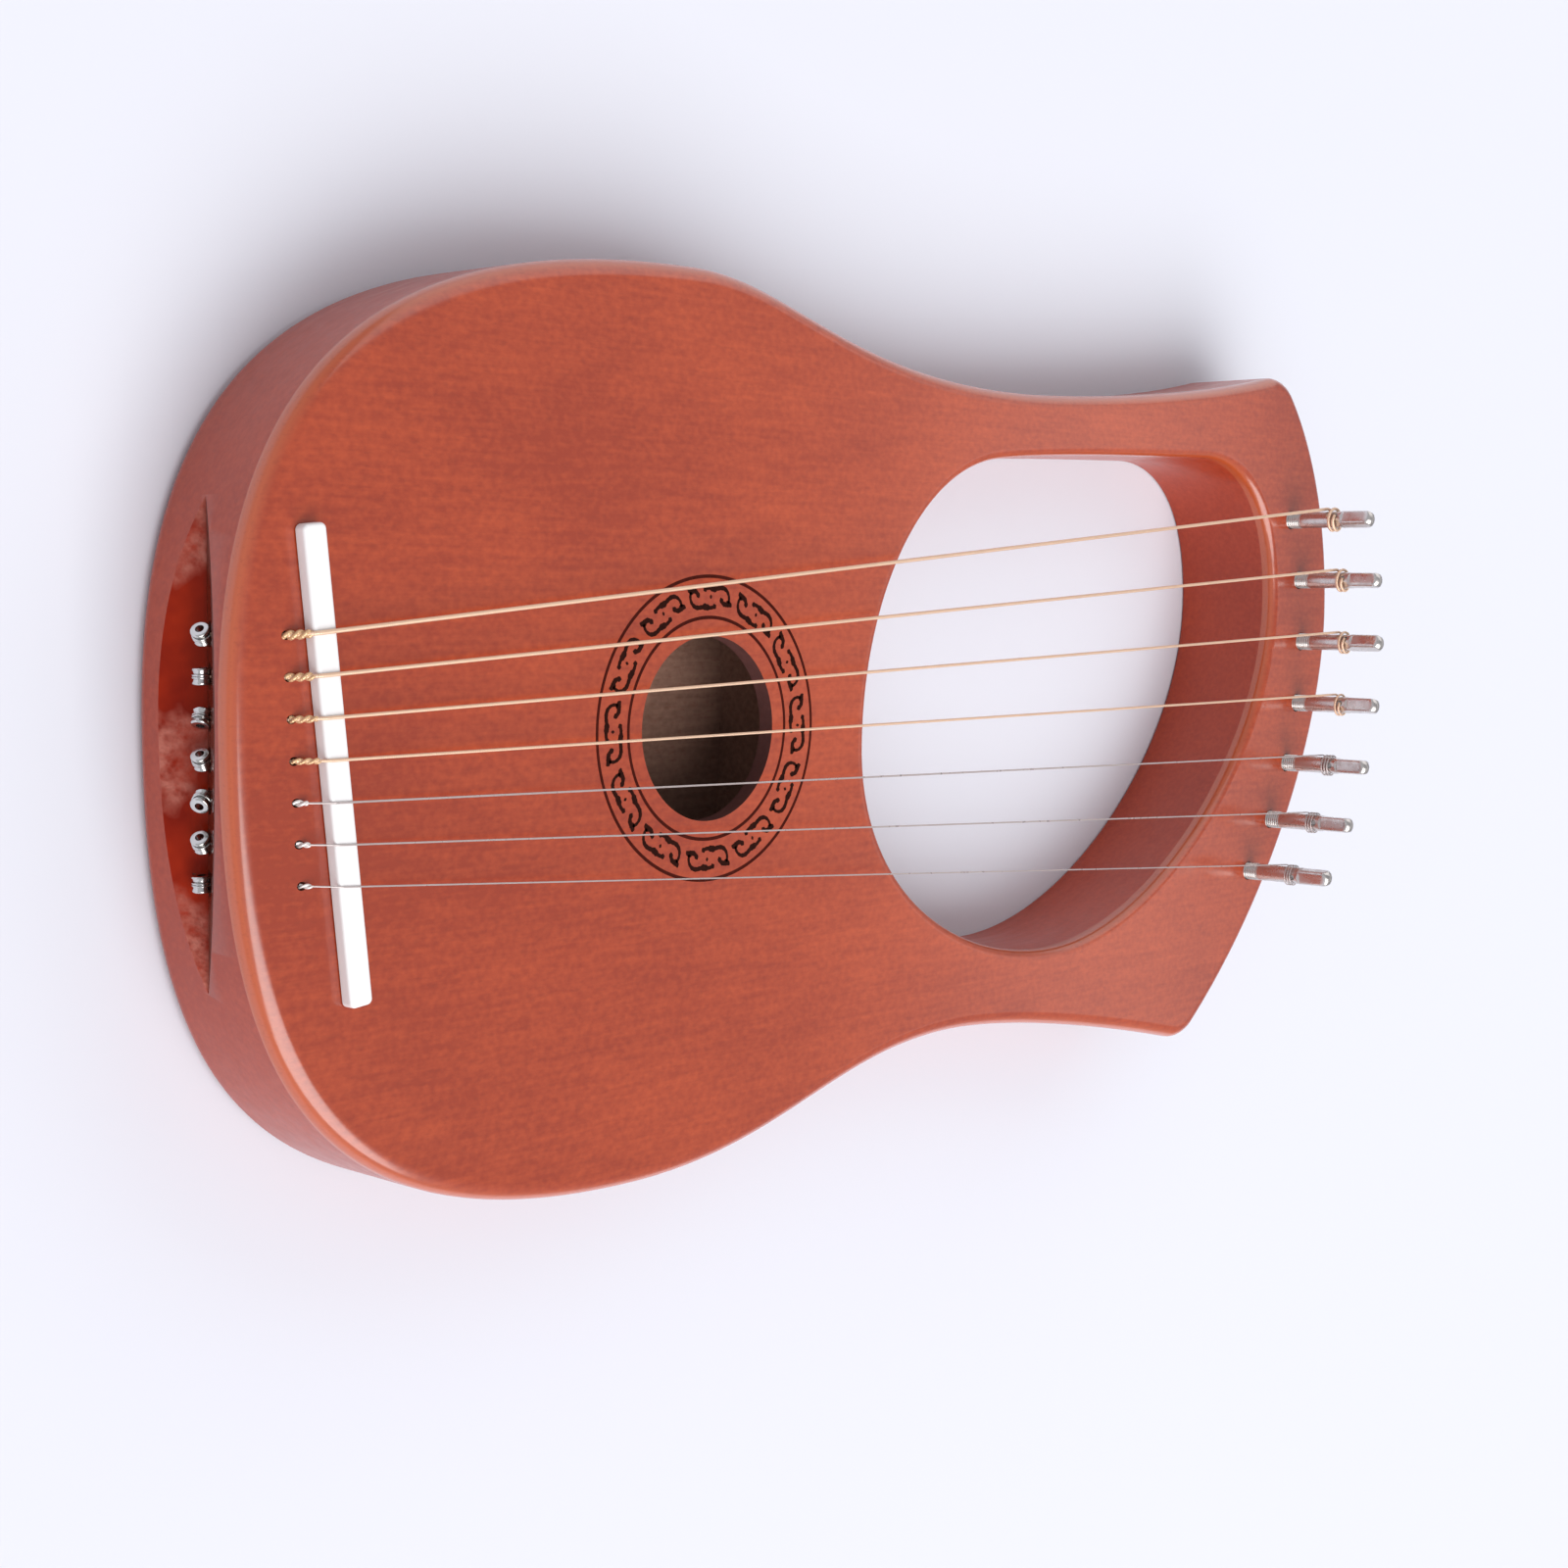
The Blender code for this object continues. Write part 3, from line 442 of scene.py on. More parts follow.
def ball_centres():
    """Where each string hole's axis meets the notch's upper face, and a little beyond it."""
    slope = math.radians(NOTCH_UPPER_SLOPE)
    outward = np.array([0.0, -math.sin(slope), -math.cos(slope)])
    mouths = at_height(HOLE_PLACES, BODY_THICKNESS)
    run = (np.array([0.0, *NOTCH_EDGE]) - mouths) @ outward / (HOLE_WAY @ outward)
    return mouths + HOLE_WAY * (run + BALL_PROUD)[:, None]


BALL_CENTRES = ball_centres()


def rods(name, radius, starts, ends, sides, material):
    """Straight round rods between two sets of points: a circle carried from each start to its end."""
    grids = []
    for start, end in zip(np.asarray(starts, float), np.asarray(ends, float)):
        axis = (end - start) / np.linalg.norm(end - start)
        across = np.cross(axis, [1.0, 0.0, 0.0] if abs(axis[0]) < 0.9 else [0.0, 1.0, 0.0])
        across /= np.linalg.norm(across)
        turn = full_turn(sides)[:, None]
        ring = radius * (np.cos(turn) * across + np.sin(turn) * np.cross(axis, across))
        stops = np.array([start, start, end, end])
        sizes = np.array([0.0, 1.0, 1.0, 0.0])
        grids.append(stops[:, None] + sizes[:, None, None] * ring[None])
    return new_piece(name, grids, material, close_rows=False)


def carve(piece, *tools):
    """Takes the tools' shapes out of the piece. The cut faces keep each tool's own finish."""
    for tool in tools:
        cut = piece.modifiers.new(tool.name, "BOOLEAN")
        cut.object = tool
        cut.solver = "EXACT"
        cut.material_mode = "TRANSFER"
    graph = bpy.context.evaluated_depsgraph_get()
    carved = bpy.data.meshes.new_from_object(
        piece.evaluated_get(graph), preserve_all_data_layers=True, depsgraph=graph
    )
    piece.modifiers.clear()
    piece.data = carved
    carved.name = piece.name
    carved.shade_smooth()
    carved.set_sharp_from_angle(angle=math.radians(35.0))
    for tool in tools:
        bpy.data.objects.remove(tool, do_unlink=True)


def wrinkled_lacquer():
    """Lacquer that ran thick into the notch. Patches have dried wrinkled and pale where a cosine along
    the notch and noise add up: at its middle and its ends. The upper slope, which faces down into
    the notch, is coloured nearly black: painted shade."""
    material, tree, shader = new_material("notch_lacquer")
    place = object_place(tree)
    split = add_node(tree, "SeparateXYZ", {0: place})
    pooled = worked_out(tree, "COSINE", worked_out(tree, "MULTIPLY", split.outputs[0], POOL_TURN))
    gather = worked_out(tree, "MULTIPLY_ADD", pooled, POOL_SHARE, noise(tree, place, 75.0, 3.0))
    patch = remapped(tree, gather, 0.53, 0.68)
    crinkle = remapped(tree, noise(tree, place, 420.0, 4.0), 0.25, 0.65)
    cells = add_node(tree, "TexVoronoi", {"Vector": place, "Scale": 1100.0}).outputs["Distance"]
    # Painted shade: above the notch's edge the upper slope is mixed towards a near-black colour.
    upper = remapped(tree, split.outputs[2], 0.0150, 0.0165, 0.0, 0.85)
    red = mixed(tree, remapped(tree, noise(tree, place, 140.0, 2.0), 0.3, 0.7), POOLED_RED, POOLED_DARK_RED)
    pale = mixed(tree, worked_out(tree, "MULTIPLY", patch, crinkle), red, WRINKLE_PALE)
    show_relief(tree, shader, worked_out(tree, "MULTIPLY", cells, patch), WRINKLE_DEPTH, 0.5)
    tree.links.new(mixed(tree, upper, pale, UPPER_SLOPE_PAINTED_SHADE), shader.inputs["Base Color"])
    tree.links.new(remapped(tree, patch, 0.0, 1.0, 0.16, 0.32), shader.inputs["Roughness"])
    shader.inputs["Specular IOR Level"].default_value = 0.08
    return material


NOTCH_LACQUER = wrinkled_lacquer()
HOLE_WALL = wood("hole_wall", (0.20, 0.055, 0.032), (0.13, 0.036, 0.024), 0.3, 0.1, raw=0.3)

frame_block = board(
    "frame_block", FRAME_LOW - GLUE_LINE, FRAME_HIGH + GLUE_LINE, (0.0, 0.0), (0.0, 0.0), STAINED_SIDES
)
chamber_edge, _ = smooth_outline(CHAMBER_OUTLINE, ARC_STEPS)
chamber_pole = chamber_edge.mean(0) + 0 * chamber_edge
chamber = np.stack(
    [
        at_height(edge, z)
        for edge, z in (
            (chamber_pole, CHAMBER_REACH[0]),
            (chamber_edge, CHAMBER_REACH[0]),
            (chamber_edge, CHAMBER_REACH[1]),
            (chamber_pole, CHAMBER_REACH[1]),
        )
    ]
)
chamber_tool = new_piece("chamber_tool", [chamber], RAW_WOOD, close_rows=False)
notch_rise = NOTCH_DEPTH * math.tan(math.radians(NOTCH_UPPER_SLOPE))
notch_fall = NOTCH_DEPTH * math.tan(math.radians(NOTCH_LOWER_SLOPE))
notch_section = np.array(
    [
        [NOTCH_EDGE[0], NOTCH_EDGE[1]],
        [NOTCH_EDGE[0] - NOTCH_DEPTH, NOTCH_EDGE[1] + notch_rise],
        [NOTCH_EDGE[0] - NOTCH_DEPTH, NOTCH_EDGE[1] - notch_fall],
    ]
)
notch_pole = notch_section.mean(0) + 0 * notch_section
notch = np.stack(
    [
        np.column_stack([np.full(len(section), x), section])
        for x, section in (
            (-NOTCH_HALF_LENGTH, notch_pole),
            (-NOTCH_HALF_LENGTH, notch_section),
            (NOTCH_HALF_LENGTH, notch_section),
            (NOTCH_HALF_LENGTH, notch_pole),
        )
    ]
)
notch_tool = new_piece("notch_tool", [notch], NOTCH_LACQUER, close_rows=False)


def drills():
    """The tools for the blind pin holes and the slanted string holes, which both upper layers have."""
    pins = at_height(PIN_PLACES, PIN_HOLE_TOP), at_height(PIN_PLACES, PIN_HOLE_BOTTOM)
    strings = at_height(HOLE_PLACES, BODY_THICKNESS) - HOLE_WAY * HOLE_OVERRUN, BALL_CENTRES
    return (
        rods("pin_hole_tool", PIN_HOLE_RADIUS, *pins, PIN_HOLE_SIDES, HOLE_WALL),
        rods("string_hole_tool", HOLE_RADIUS, *strings, HOLE_SIDES, HOLE_WALL),
    )


carve(
    frame_block,
    chamber_tool,
    notch_tool,
    *drills(),
    rods(
        "seat_tool",
        BALL_SEAT_RADIUS,
        BALL_CENTRES - HOLE_WAY * BALL_SEAT_RADIUS,
        BALL_CENTRES + HOLE_WAY * BALL_SEAT_RADIUS,
        BALL_SEAT_SIDES,
        HOLE_WALL,
    ),
)
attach(frame_block, "body")
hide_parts("body_frame")

# Braces
# Two spruce bars inside the chamber, one glued under the soundboard and one on the back plate, with
# their ends cut down to a thin taper. They are left unfinished.
BRACE_SPRUCE = wood("brace_spruce", (0.62, 0.46, 0.28), (0.48, 0.33, 0.18), 0.7, 0.15, raw=0.3)
for name in ("soundboard_brace", "back_brace"):
    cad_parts[name].data.materials.clear()
    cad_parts[name].data.materials.append(BRACE_SPRUCE)

# Soundboard
# A 4 mm mahogany board glued on the frame, with the sound hole, the string holes and the pin holes
# drilled through it. Its edges are rounded over, and it is stained red-brown under a satin lacquer.
SOUND_HOLE_CENTRE = (0.0013, -0.0757)
SOUND_HOLE_RADIUS = 0.0215
SOUND_HOLE_CUT = (0.02, 0.05)
SOUND_HOLE_SIDES = 128
STAINED_TOP = wood(
    "stained_top",
    (0.50, 0.077, 0.021),
    (0.30, 0.034, 0.010),
    0.45,
    0.15,
    coat=1.0,
    edge=((0.46, 0.082, 0.022), BODY_THICKNESS - 0.0002),
    coat_index=1.75,
    satin=0.2,
)
SOUND_HOLE_WALL = wood("sound_hole_wall", (0.14, 0.055, 0.05), (0.09, 0.037, 0.034), 0.3, 0.1, raw=0.2)
soundboard = board(
    "sound_board",
    FRAME_HIGH + GLUE_LINE,
    BODY_THICKNESS,
    (0.0, EDGE_RADIUS),
    (0.0, OPENING_TOP_RADIUS),
    STAINED_TOP,
)
carve(
    soundboard,
    rods(
        "sound_hole_tool",
        SOUND_HOLE_RADIUS,
        [(*SOUND_HOLE_CENTRE, SOUND_HOLE_CUT[0])],
        [(*SOUND_HOLE_CENTRE, SOUND_HOLE_CUT[1])],
        SOUND_HOLE_SIDES,
        SOUND_HOLE_WALL,
    ),
    *drills(),
)
leave_unfinished(soundboard, False)
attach(soundboard, "body")
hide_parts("soundboard")

# Rosette
# Two thin circles and twelve pairs of facing scrolls with a dot between them, burnt into the
# soundboard round the sound hole before it is lacquered.
ROSETTE_RADII = (0.0257, 0.0352)
ROSETTE_LINE = 0.00080
CIRCLE_SIDES = 240
STROKE_SWELL = 1.5
MOTIFS = 12
MOTIF_MIDDLE = (0.0, 30.2)
BURN_HEIGHT = 0.00002
BURN_DEPTH = 0.00006
SCROLL_BAR = [
    (1.95, 31.95, 0.20),
    (1.60, 32.15, 0.42),
    (0.95, 32.40, 0.30),
    (0.10, 32.50, 0.32),
    (-0.70, 32.42, 0.48),
    (-1.60, 32.27, 0.52),
    (-2.50, 32.36, 0.36),
    (-3.70, 32.50, 0.36),
    (-4.70, 32.36, 0.36),
    (-5.60, 31.82, 0.31),
    (-6.18, 30.95, 0.26),
    (-6.37, 30.00, 0.25),
    (-6.22, 29.10, 0.30),
]
SCROLL_HOOK = [
    (-7.10, 28.05, 0.12),
    (-6.75, 28.45, 0.40),
    (-6.15, 28.75, 0.52),
    (-5.40, 28.62, 0.44),
    (-4.70, 28.74, 0.38),
    (-4.10, 29.20, 0.36),
    (-3.78, 29.72, 0.40),
    (-3.62, 30.10, 0.22),
]
MOTIF_DOT = [(-0.65, 30.45, 0.12), (-0.45, 30.45, 0.30), (-0.25, 30.45, 0.30), (-0.05, 30.45, 0.12)]


def distances(route):
    """How far along the route each of its points is."""
    return np.concatenate([[0], np.cumsum(np.linalg.norm(np.diff(route, axis=0), axis=1))])


def brush_stroke(keys, per_key=6):
    """A flat stroke through its keys (place and half width in mm) in a motif's own plane, the keys
    joined by a Catmull-Rom curve. Gives its two edges as points beside the centre line."""
    keys = np.array(keys)
    padded = np.vstack([2 * keys[0] - keys[1], keys, 2 * keys[-1] - keys[-2]])
    p0, p1, p2, p3 = (padded[i : len(padded) - 3 + i, None] for i in range(4))
    t = np.linspace(0, 1, per_key, endpoint=False)[None, :, None]
    square, cube = 2 * p0 - 5 * p1 + 4 * p2 - p3, 3 * p1 - p0 - 3 * p2 + p3
    line = 0.5 * (2 * p1 + (p2 - p0) * t + square * t**2 + cube * t**3)
    line = np.vstack([line.reshape(-1, 3), keys[-1:]])
    way = unit(np.gradient(line[:, :2], axis=0))
    side = np.stack([-way[:, 1], way[:, 0]], 1)
    run = distances(line[:, :2])
    wave = 1 + 0.08 * np.sin(run * 5.3) + 0.05 * np.sin(run * 12.1 + 1)
    width = STROKE_SWELL * line[:, 2:] * wave[:, None]
    tip = np.array([way[0] * -keys[0, 2], way[-1] * keys[-1, 2]])
    left = np.vstack([line[:1, :2] + tip[:1], line[:, :2] + side * width, line[-1:, :2] + tip[1:]])
    right = np.vstack([line[:1, :2] + tip[:1], line[:, :2] - side * width, line[-1:, :2] + tip[1:]])
    return left, right


def laid_on_board(left, right, angle):
    """A stroke's edges, turned to their motif's angle round the sound hole, as a thin closed strip."""
    radial = np.array([math.cos(angle), math.sin(angle)])
    tangent = np.array([-math.sin(angle), math.cos(angle)])
    edges = []
    for edge, z in ((left, BURN_HEIGHT), (right, BURN_HEIGHT), (right, -BURN_DEPTH), (left, -BURN_DEPTH)):
        flat = np.array(SOUND_HOLE_CENTRE) + (edge[:, :1] * tangent + edge[:, 1:] * radial) / 1000
        edges.append(at_height(flat, BODY_THICKNESS + z))
    return np.stack(edges, 1)


def burnt_wood(name, deep, shallow):
    """Charred wood, dull and nearly black, a little browner where the burn is shallow."""
    material, tree, shader = new_material(name)
    depth = noise(tree, object_place(tree), 900.0, 2.0)
    tree.links.new(mixed(tree, depth, deep, shallow), shader.inputs["Base Color"])
    shader.inputs["Roughness"].default_value = 0.6
    shader.inputs["Specular IOR Level"].default_value = 0.04
    return material


strokes = []
middle = np.array(MOTIF_MIDDLE)
for motif in range(MOTIFS):
    angle = 2 * math.pi * motif / MOTIFS
    for keys in (SCROLL_BAR, SCROLL_HOOK):
        left, right = brush_stroke(keys)
        strokes.append(laid_on_board(left, right, angle))
        strokes.append(laid_on_board(2 * middle - left, 2 * middle - right, angle))
    strokes.append(laid_on_board(*brush_stroke(MOTIF_DOT, 3), angle))
SCROLL_BURN = burnt_wood("burnt_scroll", (0.010, 0.003, 0.002), (0.035, 0.008, 0.005))
CIRCLE_BURN = burnt_wood("burnt_circle", (0.030, 0.005, 0.003), (0.075, 0.010, 0.006))
scrolls = new_piece("rosette_scrolls", strokes, SCROLL_BURN, close_rows=False)
turn = full_turn(CIRCLE_SIDES)
around = np.stack([np.cos(turn), np.sin(turn)], 1)
circles = []
for radius in ROSETTE_RADII:
    corners = [(radius + side * ROSETTE_LINE / 2, BURN_HEIGHT) for side in (-1, 1)]
    corners += [(r, -BURN_DEPTH) for r, _ in corners[::-1]]
    edges = [at_height(np.array(SOUND_HOLE_CENTRE) + around * r, BODY_THICKNESS + z) for r, z in corners]
    circles.append(np.stack(edges, 1))
rings = new_piece("rosette_circles", circles, CIRCLE_BURN)
for piece in (scrolls, rings):
    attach(piece, "body")

# Saddle
# A plain bar of white plastic, glued on the soundboard a little askew. The strings press on its top.
SADDLE_LENGTH = 0.097
SADDLE_WIDTH = 0.0055
SADDLE_HEIGHT = 0.003
SADDLE_CENTRE = (0.005, -0.1829)
SADDLE_TILT = math.radians(6.65)
SADDLE_CORNER = 0.0013
SADDLE_ROUNDING = 0.0008
SADDLE_LOW = 0.0338
SADDLE_SIDES = 64
POLISH_DEPTH = 0.00001


def rounded_bar(length, width, corner, low, high, rounding):
    """A bar with rounded corners in plan: its outline is carried up the wall, drawn in over a quarter
    circle at the top and closed along its middle line."""
    turn = full_turn(SADDLE_SIDES) + np.pi / SADDLE_SIDES
    round_part = np.stack([np.cos(turn), np.sin(turn)], 1)
    ends = np.sign(round_part) * (length / 2 - corner, width / 2 - corner)
    spine = np.stack([ends[:, 0], 0 * turn], 1)
    rows = [at_height(spine, low)]
    bend = np.linspace(0, np.pi / 2, 7)
    for inset, z in [(0.0, low), *zip(rounding * (1 - np.cos(bend)), high - rounding * (1 - np.sin(bend)))]:
        rows.append(at_height(ends + round_part * (corner - inset), z))
    middle_line = at_height(spine, high)
    rows += [rows[-1] * 0.97 + middle_line * 0.03, middle_line]
    return np.stack(rows)


def white_plastic():
    """Satin white plastic, very slightly mottled and a little warmer in places."""
    material, tree, shader = new_material("saddle_plastic")
    place = object_place(tree)
    tone = mixed(tree, noise(tree, place, 60.0, 2.0), (0.85, 0.835, 0.84), (0.82, 0.805, 0.81))
    tree.links.new(tone, shader.inputs["Base Color"])
    show_relief(tree, shader, noise(tree, place, 2500.0, 1.0), POLISH_DEPTH, 0.5)
    shader.inputs["Roughness"].default_value = 0.35
    return material


saddle_top = SADDLE_LOW + SADDLE_HEIGHT
bar = rounded_bar(SADDLE_LENGTH, SADDLE_WIDTH, SADDLE_CORNER, SADDLE_LOW, saddle_top, SADDLE_ROUNDING)
swing = np.array(Matrix.Rotation(SADDLE_TILT, 3, "Z"))
bar = bar @ swing.T + np.array([*SADDLE_CENTRE, 0.0])
saddle_bar = new_piece("saddle_bar", [bar], white_plastic(), close_rows=False)
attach(saddle_bar, "body")
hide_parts("saddle")

# Tuning pins
# Nickel-plated steel zither pins, 5 mm thick, screwed into the yoke by their fine thread. The head is
# pressed square for the tuning key, and the string's end is put through the eye below it.
PIN_RADIUS = 0.0025
PIN_TOP = 0.0283
PIN_FOOT = -0.0123
HEAD_LOW = 0.0178
SHOULDER = 0.0012
HEAD_FLATS = 0.0043
HEAD_CORNER = 0.0028
DOME_RADIUS = 0.0034
DOME_DIP = 0.0005
THREAD_TOP = 0.0046
THREAD_PITCH = 0.0007
THREAD_DEPTH = 0.00012
THREAD_SWELL = 0.00003
THREAD_ENDS = (0.0016, 0.0008)
THREAD_MARGIN = 0.0006
FOOT_BEVEL = (0.0007, 0.0008)
DOME_START = 0.0024
CORNER_POWER = -14.0
PIN_SIDES = 64
TURN_STEPS = 24
EYE_UP = 0.0164
EYE_RADIUS = 0.0009
STRING_DIAMETERS = np.array([0.95, 0.85, 0.75, 0.65, 0.45, 0.40, 0.35]) / 1000
COIL_TURNS = np.array([1.58, 1.54, 1.58, 1.54, 3.0, 3.0, 2.96])
COIL_GAP = 0.0005
WIRE_GAP = 0.0003
FIRST_WRAP = 0.25


def string_route(index):
    """Where a string meets its pin: its heading from the hole, the angle of the meeting point, the
    radius and the pitch of its turns, the lowest turn and the angle at which it enters the eye."""
    hole, pin, diameter = HOLE_PLACES[index], PIN_PLACES[index], STRING_DIAMETERS[index]
    radius = PIN_RADIUS + WIRE_GAP + diameter / 2
    pitch = diameter + COIL_GAP
    line = pin - hole
    bearing = math.atan2(line[1], line[0]) + math.asin(radius / np.linalg.norm(line))
    meet = bearing + math.pi / 2
    low = BODY_THICKNESS + EYE_UP - pitch * (COIL_TURNS[index] + 1)
    eye = meet - 2 * math.pi * (FIRST_WRAP + round(COIL_TURNS[index] * TURN_STEPS) / TURN_STEPS)
    return bearing, meet, radius, pitch, low, eye


def pin_surface(turned):
    """A round shank that becomes a square head: at each height the radius is that of a superellipse
    whose power grows from 2 to 9, cut off at the corners. The tip is a dome, turned before the head was
    pressed, and a screw thread swells the foot in a helix."""
    low_part = np.arange(PIN_FOOT + FOOT_BEVEL[1], THREAD_TOP + THREAD_MARGIN, THREAD_PITCH / 8)
    high_part = np.array([0.007, 0.010, 0.013, 0.0155, HEAD_LOW])
    shoulder = HEAD_LOW + SHOULDER * np.linspace(0, 1, 9)[1:]
    head = np.linspace(shoulder[-1], PIN_TOP - DOME_START, 4)[1:]
    heights = np.concatenate([[PIN_FOOT, PIN_FOOT], low_part, high_part, shoulder, head])
    turn = full_turn(PIN_SIDES)
    z, a = heights[:, None], turn[None] - turned
    square = np.clip((z - HEAD_LOW) / SHOULDER, 0, 1)
    square = square * square * (3 - 2 * square)
    power = 2 + 7 * square
    half = PIN_RADIUS * (1 - square) + HEAD_FLATS / 2 * square
    radius = half * (np.abs(np.cos(a)) ** power + np.abs(np.sin(a)) ** power) ** (-1 / power)
    both = (radius * 1000) ** CORNER_POWER + (HEAD_CORNER * 1000) ** CORNER_POWER
    radius = both ** (1 / CORNER_POWER) / 1000
    phase = (z / THREAD_PITCH + turn[None] / (2 * np.pi)) % 1
    crest = THREAD_DEPTH * (1 - 2 * np.abs(2 * phase - 1))
    fade = np.clip((THREAD_TOP - z) / THREAD_ENDS[1], 0, 1) * np.clip((z - PIN_FOOT) / THREAD_ENDS[0], 0, 1)
    radius = radius + (crest + THREAD_SWELL) * fade
    radius[0] = 0.0
    radius[1] = PIN_RADIUS - FOOT_BEVEL[0]
    share = np.array([1.0, 0.993, 0.975, 0.94, 0.88, 0.75, 0.5, 0.25, 0.0])[:, None]
    dome = share * radius[-1]
    dome_z = PIN_TOP - (DOME_RADIUS - np.sqrt(DOME_RADIUS**2 - dome**2)) - DOME_DIP * share**16
    radius = np.concatenate([radius, dome])
    z = np.concatenate([z + 0 * radius[: len(heights)], dome_z])
    return np.stack([radius * np.cos(turn), radius * np.sin(turn), z], -1)


def metal(name, colour, roughness, wear, metallic=1.0, scratches=0.3):
    """Plated metal with faint clouding in its polish and a few hair-fine scratches."""
    material, tree, shader = new_material(name)
    place = object_place(tree)
    cloud = noise(tree, place, 400.0, 3.0)
    shade = tuple(c * (1 - wear) for c in colour)
    polish = remapped(tree, cloud, 0.3, 0.7, roughness * 0.75, roughness * 1.35)
    tree.links.new(mixed(tree, cloud, colour, shade), shader.inputs["Base Color"])
    tree.links.new(polish, shader.inputs["Roughness"])
    show_relief(tree, shader, noise(tree, place, 1800.0, 2.0), POLISH_DEPTH, scratches)
    shader.inputs["Metallic"].default_value = metallic
    return material


NICKEL = metal("nickel_plate", (0.70, 0.66, 0.64), 0.27, 0.15)
for index, place in enumerate(PIN_PLACES):
    eye = string_route(index)[5]
    surface = pin_surface(eye) + np.array([*place, BODY_THICKNESS])
    pin = new_piece(f"pin_{index + 1}", [surface], NICKEL, close_rows=False)
    reach = np.array([math.cos(eye), math.sin(eye), 0.0]) * 0.004
    middle = np.array([*place, BODY_THICKNESS + EYE_UP])
    carve(pin, rods("eye_tool", EYE_RADIUS, [middle - reach], [middle + reach], HOLE_SIDES, NICKEL))
    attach(pin, f"pin_{index + 1}")
    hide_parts(f"tuning_pin_{index + 1}")

# Ball ends
# Turned and plated spools, 4 mm across, one on each string. The wire is looped round the groove, and
# the pull of the string seats the spool at the mouth of its hole, square to it, in the notch.
BALL_RADIUS = 0.0020
BALL_HALF_WIDTH = 0.0017
BALL_BORE = 0.0009
BALL_GROOVE = 0.0004
BALL_CHAMFER = 0.0004
BALL_TURNS = (42.0, 88.0, -62.0, 50.0, -35.0, 45.0, 84.0)
LOOP_RADIUS = 0.00022


def spool():
    """A closed profile turned about Z: bore, flat face, rounded rim and a hollow groove."""
    bend = np.linspace(0, np.pi / 2, 5)
    dip = np.linspace(-1, 1, 9)[1:-1]
    inner, width = BALL_RADIUS - BALL_CHAMFER, BALL_HALF_WIDTH - BALL_CHAMFER
    rim = list(zip(inner + BALL_CHAMFER * np.sin(bend), width + BALL_CHAMFER * np.cos(bend)))
    groove = zip(BALL_RADIUS - BALL_GROOVE * np.cos(dip * np.pi / 2), -dip * width)
    lower = [(r, -z) for r, z in rim[::-1]]
    profile = np.array([(BALL_BORE, BALL_HALF_WIDTH), *rim, *groove, *lower, (BALL_BORE, -BALL_HALF_WIDTH)])
    turn = full_turn(40)[:, None]
    r, z = profile.T
    return np.stack([r * np.cos(turn), r * np.sin(turn), z + 0 * turn], -1)


def loop_in_groove():
    """Two turns of wire side by side in the groove: circles about Z carried round as thin tubes."""
    turn, around = full_turn(48)[:, None], full_turn(8)[None]
    rings = []
    for shift in (-1.05, 1.05):
        radius = BALL_RADIUS - BALL_GROOVE + LOOP_RADIUS * (1.1 + np.cos(around))
        level = LOOP_RADIUS * (shift + np.sin(around)) + 0 * turn
        rings.append(np.stack([radius * np.cos(turn), radius * np.sin(turn), level], -1))
    return rings


BALL_METAL = metal("ball_plate", (0.66, 0.65, 0.64), 0.16, 0.12)
for index, centre in enumerate(BALL_CENTRES):
    seated = Matrix.Rotation(HOLE_SLOPE, 3, "X")
    turned = np.array(Matrix.Rotation(math.radians(BALL_TURNS[index]), 3, HOLE_WAY) @ seated).T
    ball = new_piece(f"ball_{index + 1}", [spool() @ turned + centre], BALL_METAL)
    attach(ball, "body")
    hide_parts(f"ball_end_{index + 1}")
    tubes = [ring @ turned + centre for ring in loop_in_groove()]
    loop = new_piece(f"ball_loop_{index + 1}", tubes, BALL_METAL)
    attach(loop, "body")

# Strings
# Four strings wound with bronze and three of plain steel. Each runs up its slanted hole, over the
# saddle and along to its pin, where it starts its turns. Its end is twisted back round it at the hole.
WOUND_STRINGS = 4
WIRE_SIDES = 12
UPRIGHT = (0.0, 0.0, 1.0)
SIDEWAYS = (1.0, 0.0, 0.0)
TWIST_PITCH = 0.0036
TWIST_LENGTHS = np.array([4.4, 4.4, 4.6, 4.6, 1.8, 1.8, 1.8]) / 1000
TWIST_TAPER = 0.0008
TWIST_LEAD = 0.0012
WINDING_PITCH = 0.00022
BALL_OVERLAP = 0.0018
MOUTH_RISE = 0.0006
SADDLE_INSET = 0.0006
CORNER_REACH = (0.0007, 0.0008, 0.0008)
SADDLE_BITE = 0.00003
WRAP_POINTS = 13
STRING_STEP = 0.004
TWIST_STEP = 0.0002
TWIST_LAY = (0.2, 0.35)
TWIST_THICKNESS = (0.3, 0.22)
PLAIN_TWIST = 1.5


def rounded_route(corners, reach):
    """Straight runs between the corners, each corner but the ends eased by a quadratic curve that
    starts and ends at the given reach from it."""
    corners = np.asarray(corners, float)
    parts = [corners[:1]]
    t = np.linspace(0, 1, 9)[:, None]
    for before, corner, after, ease in zip(corners, corners[1:], corners[2:], reach):
        start = corner + (before - corner) / np.linalg.norm(before - corner) * ease
        end = corner + (after - corner) / np.linalg.norm(after - corner) * ease
        parts.append((1 - t) ** 2 * start + 2 * t * (1 - t) * corner + t * t * end)
    parts.append(corners[-1:])
    return np.vstack(parts)


